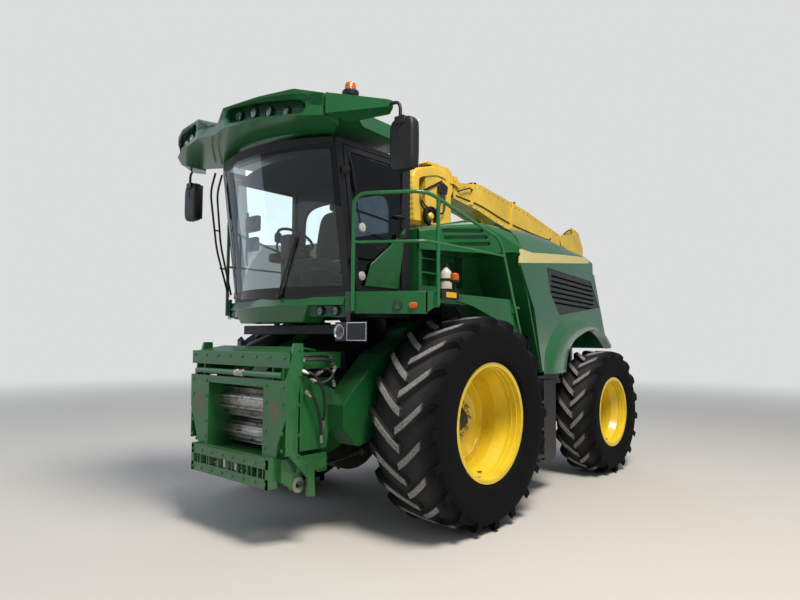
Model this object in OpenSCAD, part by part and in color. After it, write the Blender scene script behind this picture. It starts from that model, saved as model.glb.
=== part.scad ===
// Self-propelled forage harvester, parked, with its spout folded back.
// X is to the machine's left, Y is rearward, Z is up; lengths are in millimetres.

/* [Running gear] */
// Distance between the front and rear axles
wheelbase = 3210; // [3100:10:3300]
// Radius of the front tyre over its lugs
front_tyre_r = 990; // [960:5:1010]
// Width of the front tyre
front_tyre_w = 740; // [650:10:760]
// Radius of the front rim's flange
front_rim_r = 559; // [533:1:585]
// Distance between the front wheels' centre planes
front_track = 2590; // [2560:10:2700]
// Radius of the rear tyre over its lugs
rear_tyre_r = 810; // [780:5:830]
// Width of the rear tyre
rear_tyre_w = 520; // [460:10:540]
// Radius of the rear rim's flange
rear_rim_r = 457; // [430:1:470]
// Distance between the rear wheels' centre planes
rear_track = 2450; // [2430:10:2520]
// Height of a tyre lug
lug_h = 48; // [30:2:60]
// Number of lugs on each half of a front tyre
front_lugs = 21; // [16:1:24]
// Number of lugs on each half of a rear tyre
rear_lugs = 19; // [16:1:22]

/* [Chassis] */
// Half the distance between the frame rails' inner faces
rail_inner_x = 400; // [395:5:410]
// Width of a frame rail
rail_w = 88; // [70:2:92]
// Depth of a frame rail
rail_h = 235; // [200:5:260]
// Radius of the front axle's tube
axle_tube_r = 135; // [110:5:140]

/* [Cab] */
// Half width of the cab
cab_half_w = 890; // [870:5:900]
// Height of the cab's floor above the ground
floor_z = 2170; // [2150:5:2190]
// Height of the glass, along its slope
glass_h = 1370; // [1340:5:1390]
// Forward lean of the windscreen in degrees
screen_lean = 8; // [6:0.5:9]
// How far the windscreen bulges ahead of its corners
screen_bulge = 290; // [240:10:320]
// Thickness of a pane
glass_t = 8; // [6:1:10]
// Section of a cab pillar
pillar = 62; // [50:2:70]

/* [Spout] */
// Turret axis behind the front axle
turret_y = 1000; // [960:10:1040]
// Outer half width of the spout
spout_half_w = 195; // [180:5:210]
// Thickness of the spout's plates
plate_t = 12; // [8:1:14]

/* [Feeder] */
// Half width of the feed throat
throat_half_w = 430; // [400:5:450]
// Radius of the upper feed roll over its bars
upper_roll_r = 160; // [150:2:166]
// Radius of the lower feed roll over its bars
lower_roll_r = 112; // [100:2:116]
// Radius of the header's lock pin bore
header_bore_r = 32; // [25:1:38]

/* [Body] */
// Thickness of a body panel
panel_t = 30; // [20:2:36]
// Half width of the engine hood at its widest
hood_half_w = 1470; // [1440:10:1480]
// Inward taper of the hood's sides in degrees
hood_taper = 9.6; // [8:0.1:11]
// Radius of the tow pin's bore
hitch_bore_r = 20; // [16:1:24]

/* [Hidden] */
$fn = 64;

green = "#1f5f35";
dark_green = "#123f22";
yellow = "#c9b037";
rim_yellow = "#d8bd2f";
black = "#1c1d20";
rubber = "#26272a";
steel = "#8f9296";
clear = [0.6, 0.7, 0.72, 0.4];

// The front axle stands this far ahead of the middle of the machine's length
front_axle_y = -1500;
fit_gap = 0.3;       // gap between a piece and its seat on another body
run_gap = 6;         // clearance of a piece that swings past another
axle_z = front_tyre_r;
rear_axle_z = rear_tyre_r;
rim_lip = 14;        // thickness of a rim's flange
rim_seat = 26;       // depth of the bead seat below the flange
spindle_r = 70;
front_hub_x = -100;  // hub plate from the front wheel's centre plane
front_hub_r = 215;
rear_hub_x = -110;
rear_hub_r = 170;
rail_z0 = axle_z + axle_tube_r;
rail_z1 = rail_z0 + rail_h;
rail_y0 = -560;
rail_y1 = wheelbase + 890;
rear_beam_z0 = 700;
rear_beam_z1 = 920;
kingpin_x = 800;
kingpin_r = 30;
ear_t = 60;          // thickness of a knuckle's ear
rod_r = 22;
rod_y = 250;         // steering rod behind the rear axle's centre
lift_x = 500;        // place of a lift cylinder across the machine
lift_tail = [0, 735];   // its tail pin: [y, z]
lift_eye = [-1150, 622]; // its rod's eye: [y, z]
pin_r = 22;
hinge_y = -620;      // feeder hinge, on the drum's axis
hinge_z = 920;
drum_r = 430;
trunnion_r = 60;
lift_rod_r = 24;
eye_r = 26;          // bore of a rod's eye, loose on its pin
deck_z = floor_z - 60;
door_sill = 20;
door_pin_x = 24;     // door hinge outside the cab's side
screen_r = arc_r(cab_half_w - 12, screen_bulge);
lamp_r = 55;
tank_y0 = 1430;
panel_top_z = 2700;
upper_roll_y = -1450;
upper_roll_z = 1172;
lower_roll_y = -1430;
lower_roll_z = 885;
turret_r = 290;
turret_z = 3060;     // joint face under the slewing turret
tail_pin = [1300, 3220];   // the spout cylinder's tail pin: [y, z]
eye_pin = [2200, 3360];    // its rod's eye
spout_hinge = [1300, 3780];
flap_pin = [4255, 3430];
cab_corner_y = -1150;
cab_rear_y = -350;
door_front_y = cab_corner_y + pillar / cos(screen_lean) + 8;
lean_run = glass_h * sin(screen_lean);
lean_rise = glass_h * cos(screen_lean);
roof_z = floor_z + lean_rise;

function arc_r(chord, rise) = (chord * chord + rise * rise) / (2 * rise);

// Moves the axle-based layout into the part's own frame
module machine() translate([0, front_axle_y, 0]) children();

// Makes the same piece on both sides
module both_sides() for (side = [0, 1]) mirror([side, 0, 0]) children();

// A plate cut to a side profile of [y, z] points, from x0 to x1
module side_plate(points, x0, x1)
    translate([x0, 0, 0]) rotate([90, 0, 90]) linear_extrude(x1 - x0) polygon(points);

// A block given by its lowest and highest corners
module block(lo, hi) translate(lo) cube(hi - lo);

// A round bar along X, given by its ends and its place
module x_bar(x0, x1, y, z, r) translate([x0, y, z]) rotate([0, 90, 0]) cylinder(r = r, h = x1 - x0);

// A round tube between two points
module tube(a, b, r) {
    d = b - a;
    translate(a) rotate([0, acos(d.z / norm(d)), atan2(d.y, d.x)])
        cylinder(r = r, h = norm(d), $fn = 32);
}

// A tyre about the X axis: its carcass and two rows of slanted bars
module tyre(r, w, rim_r, lugs) {
    base_r = r - lug_h;
    half = w / 2;
    bead = rim_half(w) - rim_lip - fit_gap;
    pitch = 360 / lugs;
    right_half = [[rim_r - rim_seat + fit_gap, bead], [rim_r + 6, bead], [rim_r + 34, half * 0.93],
        [(rim_r + base_r) / 2, half], [base_r - 66, half * 0.985], [base_r - 14, half * 0.82]];
    rotate([0, 90, 0]) union() {
        rotate_extrude() polygon(concat(right_half, [[base_r, 0]],
            [for (i = [len(right_half) - 1 : -1 : 0]) [right_half[i].x, -right_half[i].y]]));
        for (side = [-1, 1], i = [0 : lugs - 1])
            rotate([0, 0, pitch * (i + (side > 0 ? 0 : 0.5))]) lug(r, half, side, pitch);
    }
}

// One bar of the tread; its centre end leads when the machine rolls forward
module lug(r, half, side, pitch) {
    base = r - lug_h;
    // Stations along the bar: [across, turn, top radius, foot radius, half thickness]
    stations = [[-0.04, 0, r, base - 12, 27], [0.42, -0.42, r, base - 16, 24],
        [0.8, -0.8, r - 5, base - 30, 25], [0.99, -0.98, r - 26, base - 96, 30]];
    last = len(stations) - 1;
    points = [for (s = stations) let (a = s[1] * pitch, z = side * s[0] * half, t = s[4])
        for (c = [[s[3], -t - 5], [s[2], -t + 4], [s[2], t - 4], [s[3], t + 5]])
            [c.x * cos(a) - c.y * sin(a), c.x * sin(a) + c.y * cos(a), z]];
    sides = [for (i = [0 : last - 1], k = [0 : 3]) let (a = i * 4 + k, b = i * 4 + (k + 1) % 4)
        each [[a, b, b + 4], [a, b + 4, a + 4]]];
    ends = [[2, 1, 0], [3, 2, 0], [last * 4, last * 4 + 1, last * 4 + 2],
        [last * 4, last * 4 + 2, last * 4 + 3]];
    faces = concat(sides, ends);
    polyhedron(points, side > 0 ? [for (f = faces) [f[2], f[1], f[0]]] : faces);
}

// Half the width of a rim over its flanges
function rim_half(tyre_w) = tyre_w * 0.43;

// A rim about the X axis: a stepped barrel and a disc whose hub plate stands at hub_x
module rim(rim_r, w, hub_x, hub_r, bore_r) {
    half = rim_half(w);
    seat = rim_r - rim_seat;
    well = rim_r - 66;
    t = 12;
    barrel = [[rim_r, -half], [rim_r, -half + rim_lip], [seat, -half + rim_lip], [seat, -half * 0.66],
        [well, -half * 0.5], [well, half * 0.1], [seat - 14, half * 0.42], [seat, half * 0.5],
        [seat, half - rim_lip], [rim_r, half - rim_lip], [rim_r, half], [seat - t, half],
        [seat - t, half * 0.5 + 4], [well - t, half * 0.1 + 8], [well - t, -half * 0.5 - 4],
        [seat - t, -half * 0.66 - 4], [seat - t, -half]];
    disc = [[bore_r, hub_x], [hub_r, hub_x], [hub_r + 50, hub_x + 26], [well - 6, hub_x - 4],
        [well - 6, hub_x + 12], [hub_r + 50, hub_x + 44], [hub_r - 8, hub_x + 18], [bore_r, hub_x + 18]];
    rotate([0, 90, 0]) difference() {
        union() {
            rotate_extrude() polygon(barrel);
            rotate_extrude() polygon(disc);
        }
        for (i = [0 : 9]) rotate([0, 0, 36 * i]) translate([hub_r - 38, 0, hub_x - 30])
            cylinder(r = 11, h = 80, $fn = 24);
    }
}

module front_wheel_place() machine() translate([front_track / 2, 0, axle_z]) children();
module rear_wheel_place() machine() translate([rear_track / 2, wheelbase, rear_axle_z]) children();

module front_tyre() color(rubber) front_wheel_place()
    tyre(front_tyre_r, front_tyre_w, front_rim_r, front_lugs);
module front_rim() color(rim_yellow) front_wheel_place()
    rim(front_rim_r, front_tyre_w, front_hub_x, front_hub_r, spindle_r + fit_gap);
module rear_tyre() color(rubber) rear_wheel_place()
    tyre(rear_tyre_r, rear_tyre_w, rear_rim_r, rear_lugs);
module rear_rim() color(rim_yellow) rear_wheel_place()
    rim(rear_rim_r, rear_tyre_w, rear_hub_x, rear_hub_r, spindle_r + fit_gap);

module front_tyre_left() front_tyre();
module front_tyre_right() mirror([1, 0, 0]) front_tyre();
module front_rim_left() front_rim();
module front_rim_right() mirror([1, 0, 0]) front_rim();
module rear_tyre_left() rear_tyre();
module rear_tyre_right() mirror([1, 0, 0]) rear_tyre();
module rear_rim_left() rear_rim();
module rear_rim_right() mirror([1, 0, 0]) rear_rim();

// Two rails on the axles, cross members, the rear axle's saddle and the body's uprights
module chassis_frame() color(black) machine() {
    both_sides() {
        block([rail_inner_x, rail_y0, rail_z0], [rail_inner_x + rail_w, rail_y1, rail_z1]);
        // Uprights: [y, top z, inner and outer half width of the bearer on top]
        for (u = [[720, 2560, rail_inner_x, 1380], [wheelbase - 60, 2600, 0, 1040]]) {
            block([rail_inner_x, u[0], rail_z1], [rail_inner_x + 60, u[0] + 60, u[1]]);
            block([u[2], u[0], u[1] - 60], [u[3], u[0] + 60, u[1]]);
        }
    }
    // Cross members: [y0, y1]
    for (c = [[1330, 1450], [wheelbase - 150, wheelbase + 150], [rail_y1 - 110, rail_y1]])
        block([-rail_inner_x, c[0], rail_z0], [rail_inner_x, c[1], rail_z1]);
    block([-170, wheelbase - 105, rear_beam_z1], [170, wheelbase + 105, rail_z0]);
}

// The driven front axle: its tube, final drives, hub flanges and lift cylinder brackets
module front_axle() color(black) machine() {
    x_bar(-620, 620, 0, axle_z, axle_tube_r);
    both_sides() {
        block([rail_inner_x, -110, axle_z + axle_tube_r - 60], [rail_inner_x + rail_w, 110, rail_z0]);
        x_bar(610, 800, 0, axle_z, 240);
        x_bar(800, front_track / 2 + front_hub_x - fit_gap, 0, axle_z, front_hub_r - 20);
        x_bar(900, front_track / 2 + front_hub_x + 60, 0, axle_z, spindle_r);
        for (x = [lift_x - 74, lift_x + 54]) difference() {
            side_plate([[-60, lift_tail.y - 45], [60, lift_tail.y - 45], [100, axle_z - 60],
                [-100, axle_z - 60]], x, x + 20);
            x_bar(x - 1, x + 21, lift_tail.x, lift_tail.y, pin_r + 0.1);
        }
        x_bar(lift_x - 74, lift_x + 74, lift_tail.x, lift_tail.y, pin_r);
    }
}

// The steered rear axle's beam with a bore for the kingpin at each end
module rear_axle() color(black) machine() translate([0, wheelbase, 0]) difference() {
    union() {
        block([-640, -110, rear_beam_z0], [640, 110, rear_beam_z1]);
        both_sides() {
            block([600, -70, rear_beam_z0], [kingpin_x, 70, rear_beam_z1]);
            translate([kingpin_x, 0, rear_beam_z0]) cylinder(r = 70, h = rear_beam_z1 - rear_beam_z0);
            block([180, 100, rear_axle_z - 30], [240, rod_y - 40, rear_axle_z + 30]);
        }
    }
    both_sides() translate([kingpin_x, 0, rear_beam_z0 - 1])
        cylinder(r = kingpin_r + 0.05, h = rear_beam_z1 - rear_beam_z0 + 2);
    x_bar(-300, 300, rod_y, rear_axle_z, 48);
}

// The knuckle: a yoke round the axle's end, its kingpin, the spindle and the steering arm
module knuckle() color(black) machine() translate([0, wheelbase, 0]) {
    for (z = [rear_beam_z0 - 4 - ear_t, rear_beam_z1 + 4]) {
        translate([kingpin_x, 0, z]) cylinder(r = 72, h = ear_t);
        block([kingpin_x, -72, z], [kingpin_x + 150, 72, z + ear_t]);
    }
    block([kingpin_x + 84, -72, rear_beam_z0 - 5], [kingpin_x + 150, 72, rear_beam_z1 + 5]);
    translate([kingpin_x, 0, rear_beam_z0 - 4 - ear_t])
        cylinder(r = kingpin_r, h = rear_beam_z1 - rear_beam_z0 + 8 + 2 * ear_t);
    x_bar(kingpin_x + 140, rear_track / 2 + rear_hub_x - fit_gap, 0, rear_axle_z, rear_hub_r - 20);
    x_bar(kingpin_x + 140, rear_track / 2 + rear_hub_x + 60, 0, rear_axle_z, spindle_r);
    block([kingpin_x - 45, 0, rear_beam_z0 - 4 - ear_t], [kingpin_x + 45, rod_y + 45, rear_beam_z0 - 4]);
}
module knuckle_left() knuckle();
module knuckle_right() mirror([1, 0, 0]) knuckle();

// The steering cylinder's barrel, fixed behind the rear axle's beam
module steering_cylinder() color(black) machine() translate([0, wheelbase, 0]) difference() {
    x_bar(-290, 290, rod_y, rear_axle_z, 48 - fit_gap);
    x_bar(-291, 291, rod_y, rear_axle_z, rod_r + 0.05);
}

// The rod through the steering cylinder, with a foot above each steering arm
module steering_rod() color(steel) machine() translate([0, wheelbase, 0]) {
    x_bar(-kingpin_x + 10, kingpin_x - 10, rod_y, rear_axle_z, rod_r);
    both_sides() block([kingpin_x - 40, rod_y - 26, rear_beam_z0 + 4], [kingpin_x + 30, rod_y + 26, rear_axle_z + rod_r]);
}

// The engine, as one block
module engine_block() color(black) machine()
    block([-rail_inner_x - 50, 1900, rail_z1], [rail_inner_x + 50, 2950, 2300]);

// The cutterhead's drum casing, the blower behind it and the duct up to the spout
module cutterhead_housing() color(black) machine() difference() {
    union() {
        x_bar(-rail_inner_x, rail_inner_x, hinge_y, hinge_z, drum_r);
        side_plate([[hinge_y, 1100], [-120, 1200], [750, 1300], [1280, 1600], [1280, 2450], [720, 2450],
            [720, 2050], [-250, 1850], [-760, 1640]], -rail_inner_x, rail_inner_x);
        translate([0, turret_y, 2440]) cylinder(r = turret_r - 30, h = turret_z - 2440);
        both_sides() x_bar(rail_inner_x - 10, rail_inner_x + 64, hinge_y, hinge_z, trunnion_r);
    }
    // The mouth in the drum's casing, towards the feed rolls
    block([-throat_half_w + 60, hinge_y - drum_r - 50, 830], [throat_half_w - 60, hinge_y - drum_r + 120, 1110]);
}

// Belt and gear covers beside the feeder
module drive_covers() color(green) machine() both_sides() {
    side_plate([[-1190, 980], [-1000, 810], [-510, 900], [-290, 740], [-270, 1590], [10, 1660], [10, 1700],
        [-40, 1950], [-170, 1950], [-400, 1760], [-730, 1620], [-1190, 1180]], 600, 860);
    block([rail_inner_x, -300, rail_z1], [610, -40, 1600]);
}

// A prism bulged forward like the windscreen, leaning with it, from z0 to z1 along the slope
module screen_prism(inset, z0, z1) translate([0, cab_corner_y, floor_z]) rotate([screen_lean, 0, 0])
    translate([0, screen_r - screen_bulge, z0]) cylinder(r = screen_r - inset, h = z1 - z0, $fn = 360);

// Sets a piece on the left front pillar, which leans with the windscreen
module on_pillar() translate([0, cab_corner_y, floor_z]) rotate([screen_lean, 0, 0]) children();
door_hinges = [260, 1060];  // heights of the door's hinges up the pillar

// The cab's frame: floor, pillars, header, rear wall and the ring under the roof
module cab_body() color(green) machine() {
    side_plate([[-1120, floor_z], [-1120, floor_z - 120], [-900, floor_z - 210], [cab_rear_y, floor_z - 210],
        [cab_rear_y, floor_z]], -cab_half_w, cab_half_w);
    intersection() {
        screen_prism(-10, -140, 6);
        block([-cab_half_w, -1600, floor_z - 70], [cab_half_w, -1119, floor_z]);
    }
    on_pillar() for (z = door_hinges) {
        block([cab_half_w - 4, 16, z - 20], [cab_half_w + door_pin_x + 14, 44, z]);
        translate([cab_half_w + door_pin_x, 30, z - 20]) cylinder(r = 8, h = 68);
    }
    both_sides() {
        on_pillar() translate([cab_half_w - pillar, 0, 0]) cube([pillar, pillar, glass_h - 12]);
        block([cab_half_w - pillar, cab_rear_y - pillar, floor_z], [cab_half_w, cab_rear_y, roof_z]);
        block([cab_half_w - pillar + 8, cab_corner_y - lean_run + 24, roof_z - 45],
            [cab_half_w - 6, cab_rear_y - 6, roof_z]);
    }
    intersection() {
        difference() {
            screen_prism(0, glass_h - 44, glass_h + 90);
            screen_prism(64, glass_h - 80, glass_h + 120);
        }
        block([-cab_half_w + pillar / 2, -1900, roof_z - 200], [cab_half_w - pillar / 2, -1200, roof_z - 4]);
    }
    difference() {
        block([-cab_half_w + pillar, cab_rear_y - 30, floor_z], [cab_half_w - pillar, cab_rear_y, roof_z]);
        block([-700, cab_rear_y - 40, floor_z + 420], [700, cab_rear_y + 10, roof_z - 110]);
    }
}

// Windscreen, right side pane and rear window
module cab_glass() color(clear) machine() {
    difference() {
        intersection() {
            screen_prism(0, 6, glass_h - 44);
            block([-cab_half_w + 12, -2000, floor_z - 100], [cab_half_w - 12, -1000, roof_z]);
            translate([0, cab_corner_y, floor_z]) rotate([screen_lean, 0, 0])
                translate([-1000, -600, 0]) cube([2000, 600, glass_h]);
        }
        screen_prism(glass_t, -10, glass_h + 10);
    }
    side_plate(door_outline(-8), -cab_half_w, -cab_half_w + glass_t);
    block([-700, cab_rear_y - 19, floor_z + 420], [700, cab_rear_y - 11, roof_z - 110]);
}

// The door's outline in side view, shrunk by m: [y, z] points
function door_outline(m) = let (z0 = floor_z + door_sill + m, z1 = roof_z - 56 - m,
    k = tan(screen_lean)) [[door_front_y + m - k * (z0 - floor_z), z0],
    [cab_rear_y - pillar - 8 - m, z0], [cab_rear_y - pillar - 8 - m, z1],
    [door_front_y + m - k * (z1 - floor_z), z1]];

// The left door's frame with its handle and hinges
module cab_door() color(black) machine() {
    difference() {
        side_plate(door_outline(0), cab_half_w - 34, cab_half_w + 4);
        side_plate(door_outline(46), cab_half_w - 40, cab_half_w + 10);
    }
    block([cab_half_w + 4, cab_rear_y - 200, floor_z + 560], [cab_half_w + 40, cab_rear_y - 90, floor_z + 596]);
    on_pillar() for (z = door_hinges) difference() {
        union() {
            translate([cab_half_w + door_pin_x, 30, z + fit_gap]) cylinder(r = 17, h = 44);
            block([cab_half_w + door_pin_x - 8, 30, z + fit_gap], [cab_half_w + door_pin_x + 8, 86, z + 44]);
            block([cab_half_w - 10, 76, z + fit_gap], [cab_half_w + door_pin_x + 8, 100, z + 44]);
        }
        translate([cab_half_w + door_pin_x, 30, z - 30]) cylinder(r = 8 + fit_gap, h = 110);
    }
}
module door_glass() color(clear) machine()
    side_plate(door_outline(46 + fit_gap), cab_half_w - 18, cab_half_w - 10);

// The roof's outline in plan, half of it, from the front centre to the rear centre
roof_edge = [[0, -2010], [180, -2050], [600, -2010], [1000, -1850], [1200, -1640], [1350, -1150],
    [1150, -560], [900, -330], [0, -330]];

module cab_roof() color(green) machine() {
    difference() {
        translate([0, 0, roof_z + 70]) linear_extrude(280)
            polygon(concat(roof_edge, [for (i = [len(roof_edge) - 2 : -1 : 1]) [-roof_edge[i].x, roof_edge[i].y]]));
        // The crown falls towards the edges
        side_plate([[-2100, roof_z + 215], [-1750, roof_z + 330], [-900, roof_z + 345], [-330, roof_z + 290],
            [-330, roof_z + 400], [-2100, roof_z + 400]], -1400, 1400);
        both_sides() roof_lamp_holes();
    }
    block([-cab_half_w - 30, -1720, roof_z], [cab_half_w + 30, -330, roof_z + 70]);
}

// The lamps in the roof's left half: [x, front y, z]
roof_lamps = [[400, -2030, 3700], [610, -2006, 3690], [800, -1930, 3670], [960, -1866, 3660]];
module roof_lamp_holes() for (l = roof_lamps) translate([l.x, l.y - 60, l.z]) rotate([-90, 0, 0])
    cylinder(r = lamp_r + fit_gap, h = 160);

module lamps() color(steel) machine() {
    both_sides() {
        for (l = roof_lamps) translate([l.x, l.y - 10, l.z]) rotate([-90, 0, 0]) cylinder(r = lamp_r, h = 110);
        for (l = nose_lamps) translate([l.x, -1250, l.z]) rotate([90, 0, 0])
            cylinder(r = 48, h = -1250 - l.y);
        translate([1150, -1040, deck_z - 82]) rotate([90, 0, 0]) cylinder(r = 42, h = 70);
    }
}

module amber_lamps() color("#e07a1c") machine() {
    translate([1100, -1350, roof_z + 338]) cylinder(r = 52, h = 110);
    both_sides() {
        block([1270, -960, deck_z], [1340, -930, deck_z + 50]);
        translate([1400, -300, deck_z]) cylinder(r = 16, h = 150);
        translate([1400, -300, deck_z + 150]) cylinder(r = 45, h = 90);
    }
}

module mirrors() color(black) machine() both_sides() {
    block([1480, -1290, 3080], [1740, -1200, 3560]);
    for (z = [3200, 3450]) {
        tube([1240, -1200, z], [1500, -1245, z], 16);
    }
    tube([1240, -1200, 3180], [1240, -1200, roof_z + 70], 18);
}

module wipers() color(black) machine() {
    translate([250, -1430, floor_z - 30]) rotate([90, 0, 0]) cylinder(r = 20, h = 34);
    tube([250, -1452, floor_z - 30], [500, -1452, floor_z + 500], 10);
}

module operator_seat() color("#2a2c2e") machine() {
    block([-200, -900, floor_z], [200, -560, floor_z + 260]);
    block([-270, -980, floor_z + 260], [270, -500, floor_z + 390]);
    translate([0, -520, floor_z + 390]) rotate([-10, 0, 0]) translate([-260, -110, 0]) cube([520, 110, 560]);
    block([-480, -1060, floor_z + 380], [-290, -560, floor_z + 470]);
    block([-440, -900, floor_z], [-330, -700, floor_z + 380]);
}

module steering_column() color(black) machine() {
    translate([60, -1230, floor_z + 9.7]) rotate([-12, 0, 0]) cylinder(r = 45, h = 550);
    translate([60, -1115, floor_z + 548]) rotate([-28, 0, 0]) {
        rotate_extrude() translate([180, 10]) circle(r = 14, $fn = 24);
        for (a = [90, 210, 330]) rotate([0, 0, a]) translate([0, -12, 0]) cube([178, 24, 14]);
        cylinder(r = 40, h = 20);
    }
}

// Work lamps in the nose, on the left: [x, front y, z]
nose_lamps = [[320, -1400, 1990], [490, -1340, 1990]];

module nose_panel() color(green) machine() {
    difference() {
        intersection() {
            translate([0, 0, 1780]) linear_extrude(floor_z - 1780 - 72) polygon([[-870, -1125], [-580, -1265],
                [0, -1460], [580, -1265], [870, -1125], [870, -1120], [-870, -1120]]);
            side_plate([[-1500, 2040], [-1400, 1890], [-1120, 1850], [-1120, floor_z], [-1500, floor_z]],
                -870, 870);
        }
        both_sides() for (l = nose_lamps) translate([l.x, -1250, l.z]) rotate([90, 0, 0])
            cylinder(r = 48 + fit_gap, h = 300);
    }
    // Black bar under the nose
    block([-700, -1120, 1800], [700, -905, 1848]);
    block([-700, -905, 1800], [700, -760, 1960]);
}

// Deck beside the cab with its band, rounded over the front wheel
module platforms() color(green) machine() both_sides() {
    translate([0, 0, deck_z - 40]) linear_extrude(40) polygon([[cab_half_w + fit_gap, -1140],
        [1010, -1180], [1510, -850], [1510, 600], [1000, 600], [1000, cab_rear_y + 30 - fit_gap],
        [cab_half_w + fit_gap, cab_rear_y + 30 - fit_gap]]);
    // The arch over the wheel, inside the band
    difference() {
        side_plate([[-850, deck_z - 40], [-850, 1960], [-700, 1920], [600, 1750], [600, deck_z - 40]], 1480, 1510);
        x_bar(1400, 1600, 0, axle_z, front_tyre_r + 110);
    }
    block([rail_inner_x, 300, rail_z1], [rail_inner_x + rail_w, 380, deck_z - 40]);
    block([rail_inner_x, 300, deck_z - 100], [1000, 380, deck_z - 40]);
}

// Rails round the deck as runs of tube between named points
module handrails() color(green) machine() both_sides() {
    a = [1030, -1140, deck_z];
    a2 = [1030, -1140, deck_z + 880];
    b = [1490, -830, deck_z];
    b2 = [1490, -830, deck_z + 890];
    c2 = [1490, 310, deck_z + 640];
    d = [1490, 560, deck_z];
    d2 = [1490, 560, deck_z + 300];
    up = [0, 0, 440];
    // Posts stand on the deck; each top rail ends inside a ball on the post
    for (post = [[a, a2], [b, b2], [[1490, 310, deck_z], c2], [d, d2]]) {
        tube(post[0], post[1], 17);
        translate(post[1]) sphere(r = 21, $fn = 32);
    }
    for (run = [[a2, b2], [b2, c2], [c2, d2]]) tube(short(run, 12), short([run[1], run[0]], 12), 15);
    for (run = [[a + up, b + up], [b + up, [1490, 310, deck_z + 330]]]) tube(run[0], run[1], 13);
}

// The point a little way along a run from its first end
function short(run, by) = run[0] + (run[1] - run[0]) * by / norm(run[1] - run[0]);

module access_ladder() color(black) machine() {
    for (y = [1060, 1400]) difference() {
        side_plate([[y - 12, 420], [y + 12, 420], [y + 12, 2100], [y - 12, 2100]], 1290, 1400);
        block([1280, y - 20, 1400], [1410, y + 20, 1401]);
    }
    for (z = [450, 750, 1050, 1330, 1610, 1890]) block([1290, 1060, z], [1400, 1400, z + 30]);
    for (z = [700, 1200]) block([1300, 1400, z], [1340, tank_y0, z + 60]);
}

// Fuel and coolant tanks between the wheels, hung from the rails
module side_tanks() color(black) machine() both_sides() {
    side_plate([[tank_y0, 420], [tank_y0 + 60, 360], [1820, 360], [1860, 420], [1860, 1290], [tank_y0, 1290]],
        560, 1300);
    block([rail_inner_x + rail_w, 1500, rail_z0], [560, 1800, 1290]);
}

// Closed body between the cab and the hood with two step recesses at each side
module hood_front() color(dark_green) machine() difference() {
    side_plate([[cab_rear_y + 30, deck_z - 40], [cab_rear_y + 30, 2780], [240, 2990], [700, 3010],
        [700, deck_z - 40]], -980, 980);
    side_plate([[cab_rear_y + 60, deck_z - 50], [cab_rear_y + 60, 2750], [240, 2960], [710, 2980],
        [710, deck_z - 50]], -950, 950);
    both_sides() for (z = [2330, 2560]) block([940, -180, z], [990, 60, z + 130]);
}

// Side view of the hood over all: [y, z]; m insets it
function hood_side(m) = [[705 + m, 2300], [705 + m, 3020 - m], [800, 3055 - m], [1800, 3060 - m],
    [3000, 2945 - m], [3420 - m, 2852 - m], [3420 - m, 2300]];
// Front view of the hood: [x, z]
function hood_front_view(m) = let (w = hood_half_w + 120 - m) [[-w, 2400], [-w, 2600 - m], [-1250 + m, 2900 - m],
    [-1060, 3010 - m], [0, 3060 - m], [1060, 3010 - m], [1250 - m, 2900 - m], [w, 2600 - m], [w, 2400]];

module hood_solid(m, z0) intersection() {
    side_plate(hood_side(m), -1600, 1600);
    translate([0, 3600, 0]) rotate([90, 0, 0]) linear_extrude(3400) polygon(hood_front_view(m));
    translate([0, 0, z0]) linear_extrude(900) polygon([for (p = [[640, 1], [3430, 1], [3430, -1], [640, -1]])
        [p[1] * (side_x(p[0]) - m), p[0]]]);
}

// The outer side face's x at a place along the machine
function side_x(y) = hood_half_w - 20 - tan(hood_taper) * (y - 1300);

module hood_top() color(green) machine() difference() {
    hood_solid(0, panel_top_z);
    hood_solid(panel_t, panel_top_z - 10);
    translate([0, turret_y, 2900]) cylinder(r = turret_r + 20, h = 300);
}

module rear_panel() color(green) machine() {
    side_plate([[3390, panel_top_z - fit_gap], [3425, panel_top_z - fit_gap], [4250, 1640], [4215, 1640]], -930, 930);
    block([rail_inner_x, 4000, rail_z1], [rail_inner_x + 60, 4060, 1860]);
    mirror([1, 0, 0]) block([rail_inner_x, 4000, rail_z1], [rail_inner_x + 60, 4060, 1860]);
}

module counterweight() color(black) machine() {
    block([-rail_inner_x, wheelbase + 570, 820], [rail_inner_x, 4180, rail_z0]);
    difference() {
        block([-90, 4180, 880], [90, 4320, 1060]);
        block([-100, 4200, 940], [100, 4330, 1000]);
        translate([0, 4270, 800]) cylinder(r = hitch_bore_r, h = 300);
    }
}

// The left side panel in side view: [y, z]
panel_edge = [[620, 2520], [1010, 2090], [1250, 1420], [1450, 1380], [1950, 1400], [2090, 1640], [2340, 1740],
    [3160, 1900], [3700, 1850], [4190, 1690], [3560, 2600], [3500, panel_top_z - fit_gap], [650, panel_top_z - fit_gap]];
grille_edge = [[1420, 2590], [3300, 2590], [3730, 2240], [1880, 2060], [1540, 2310]];

// Sets a plate, drawn in side view, on the hood's tapered left side
module on_side(points, x0, x1) translate([side_x(1300), 1300, 0]) rotate([0, 0, hood_taper])
    side_plate([for (p = points) [(p.x - 1300) / cos(hood_taper), p.y]], x0, x1);

module side_panel() color(green) machine() difference() {
    on_side(panel_edge, -panel_t, 0);
    on_side(grille_edge, -panel_t - 5, 5);
}
module side_grille() color(black) machine() {
    difference() {
        on_side(grille_edge, -panel_t + 4, -6);
        for (i = [0 : 5]) on_side([[1560 + i * 10, 2190 + i * 62], [3500 - i * 20, 2190 + i * 62],
            [3500 - i * 20, 2216 + i * 62], [1560 + i * 10, 2216 + i * 62]], -panel_t - 5, 5);
    }
}
module side_panel_left() side_panel();
module side_panel_right() mirror([1, 0, 0]) side_panel();
module side_grille_left() side_grille();
module side_grille_right() mirror([1, 0, 0]) side_grille();

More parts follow.
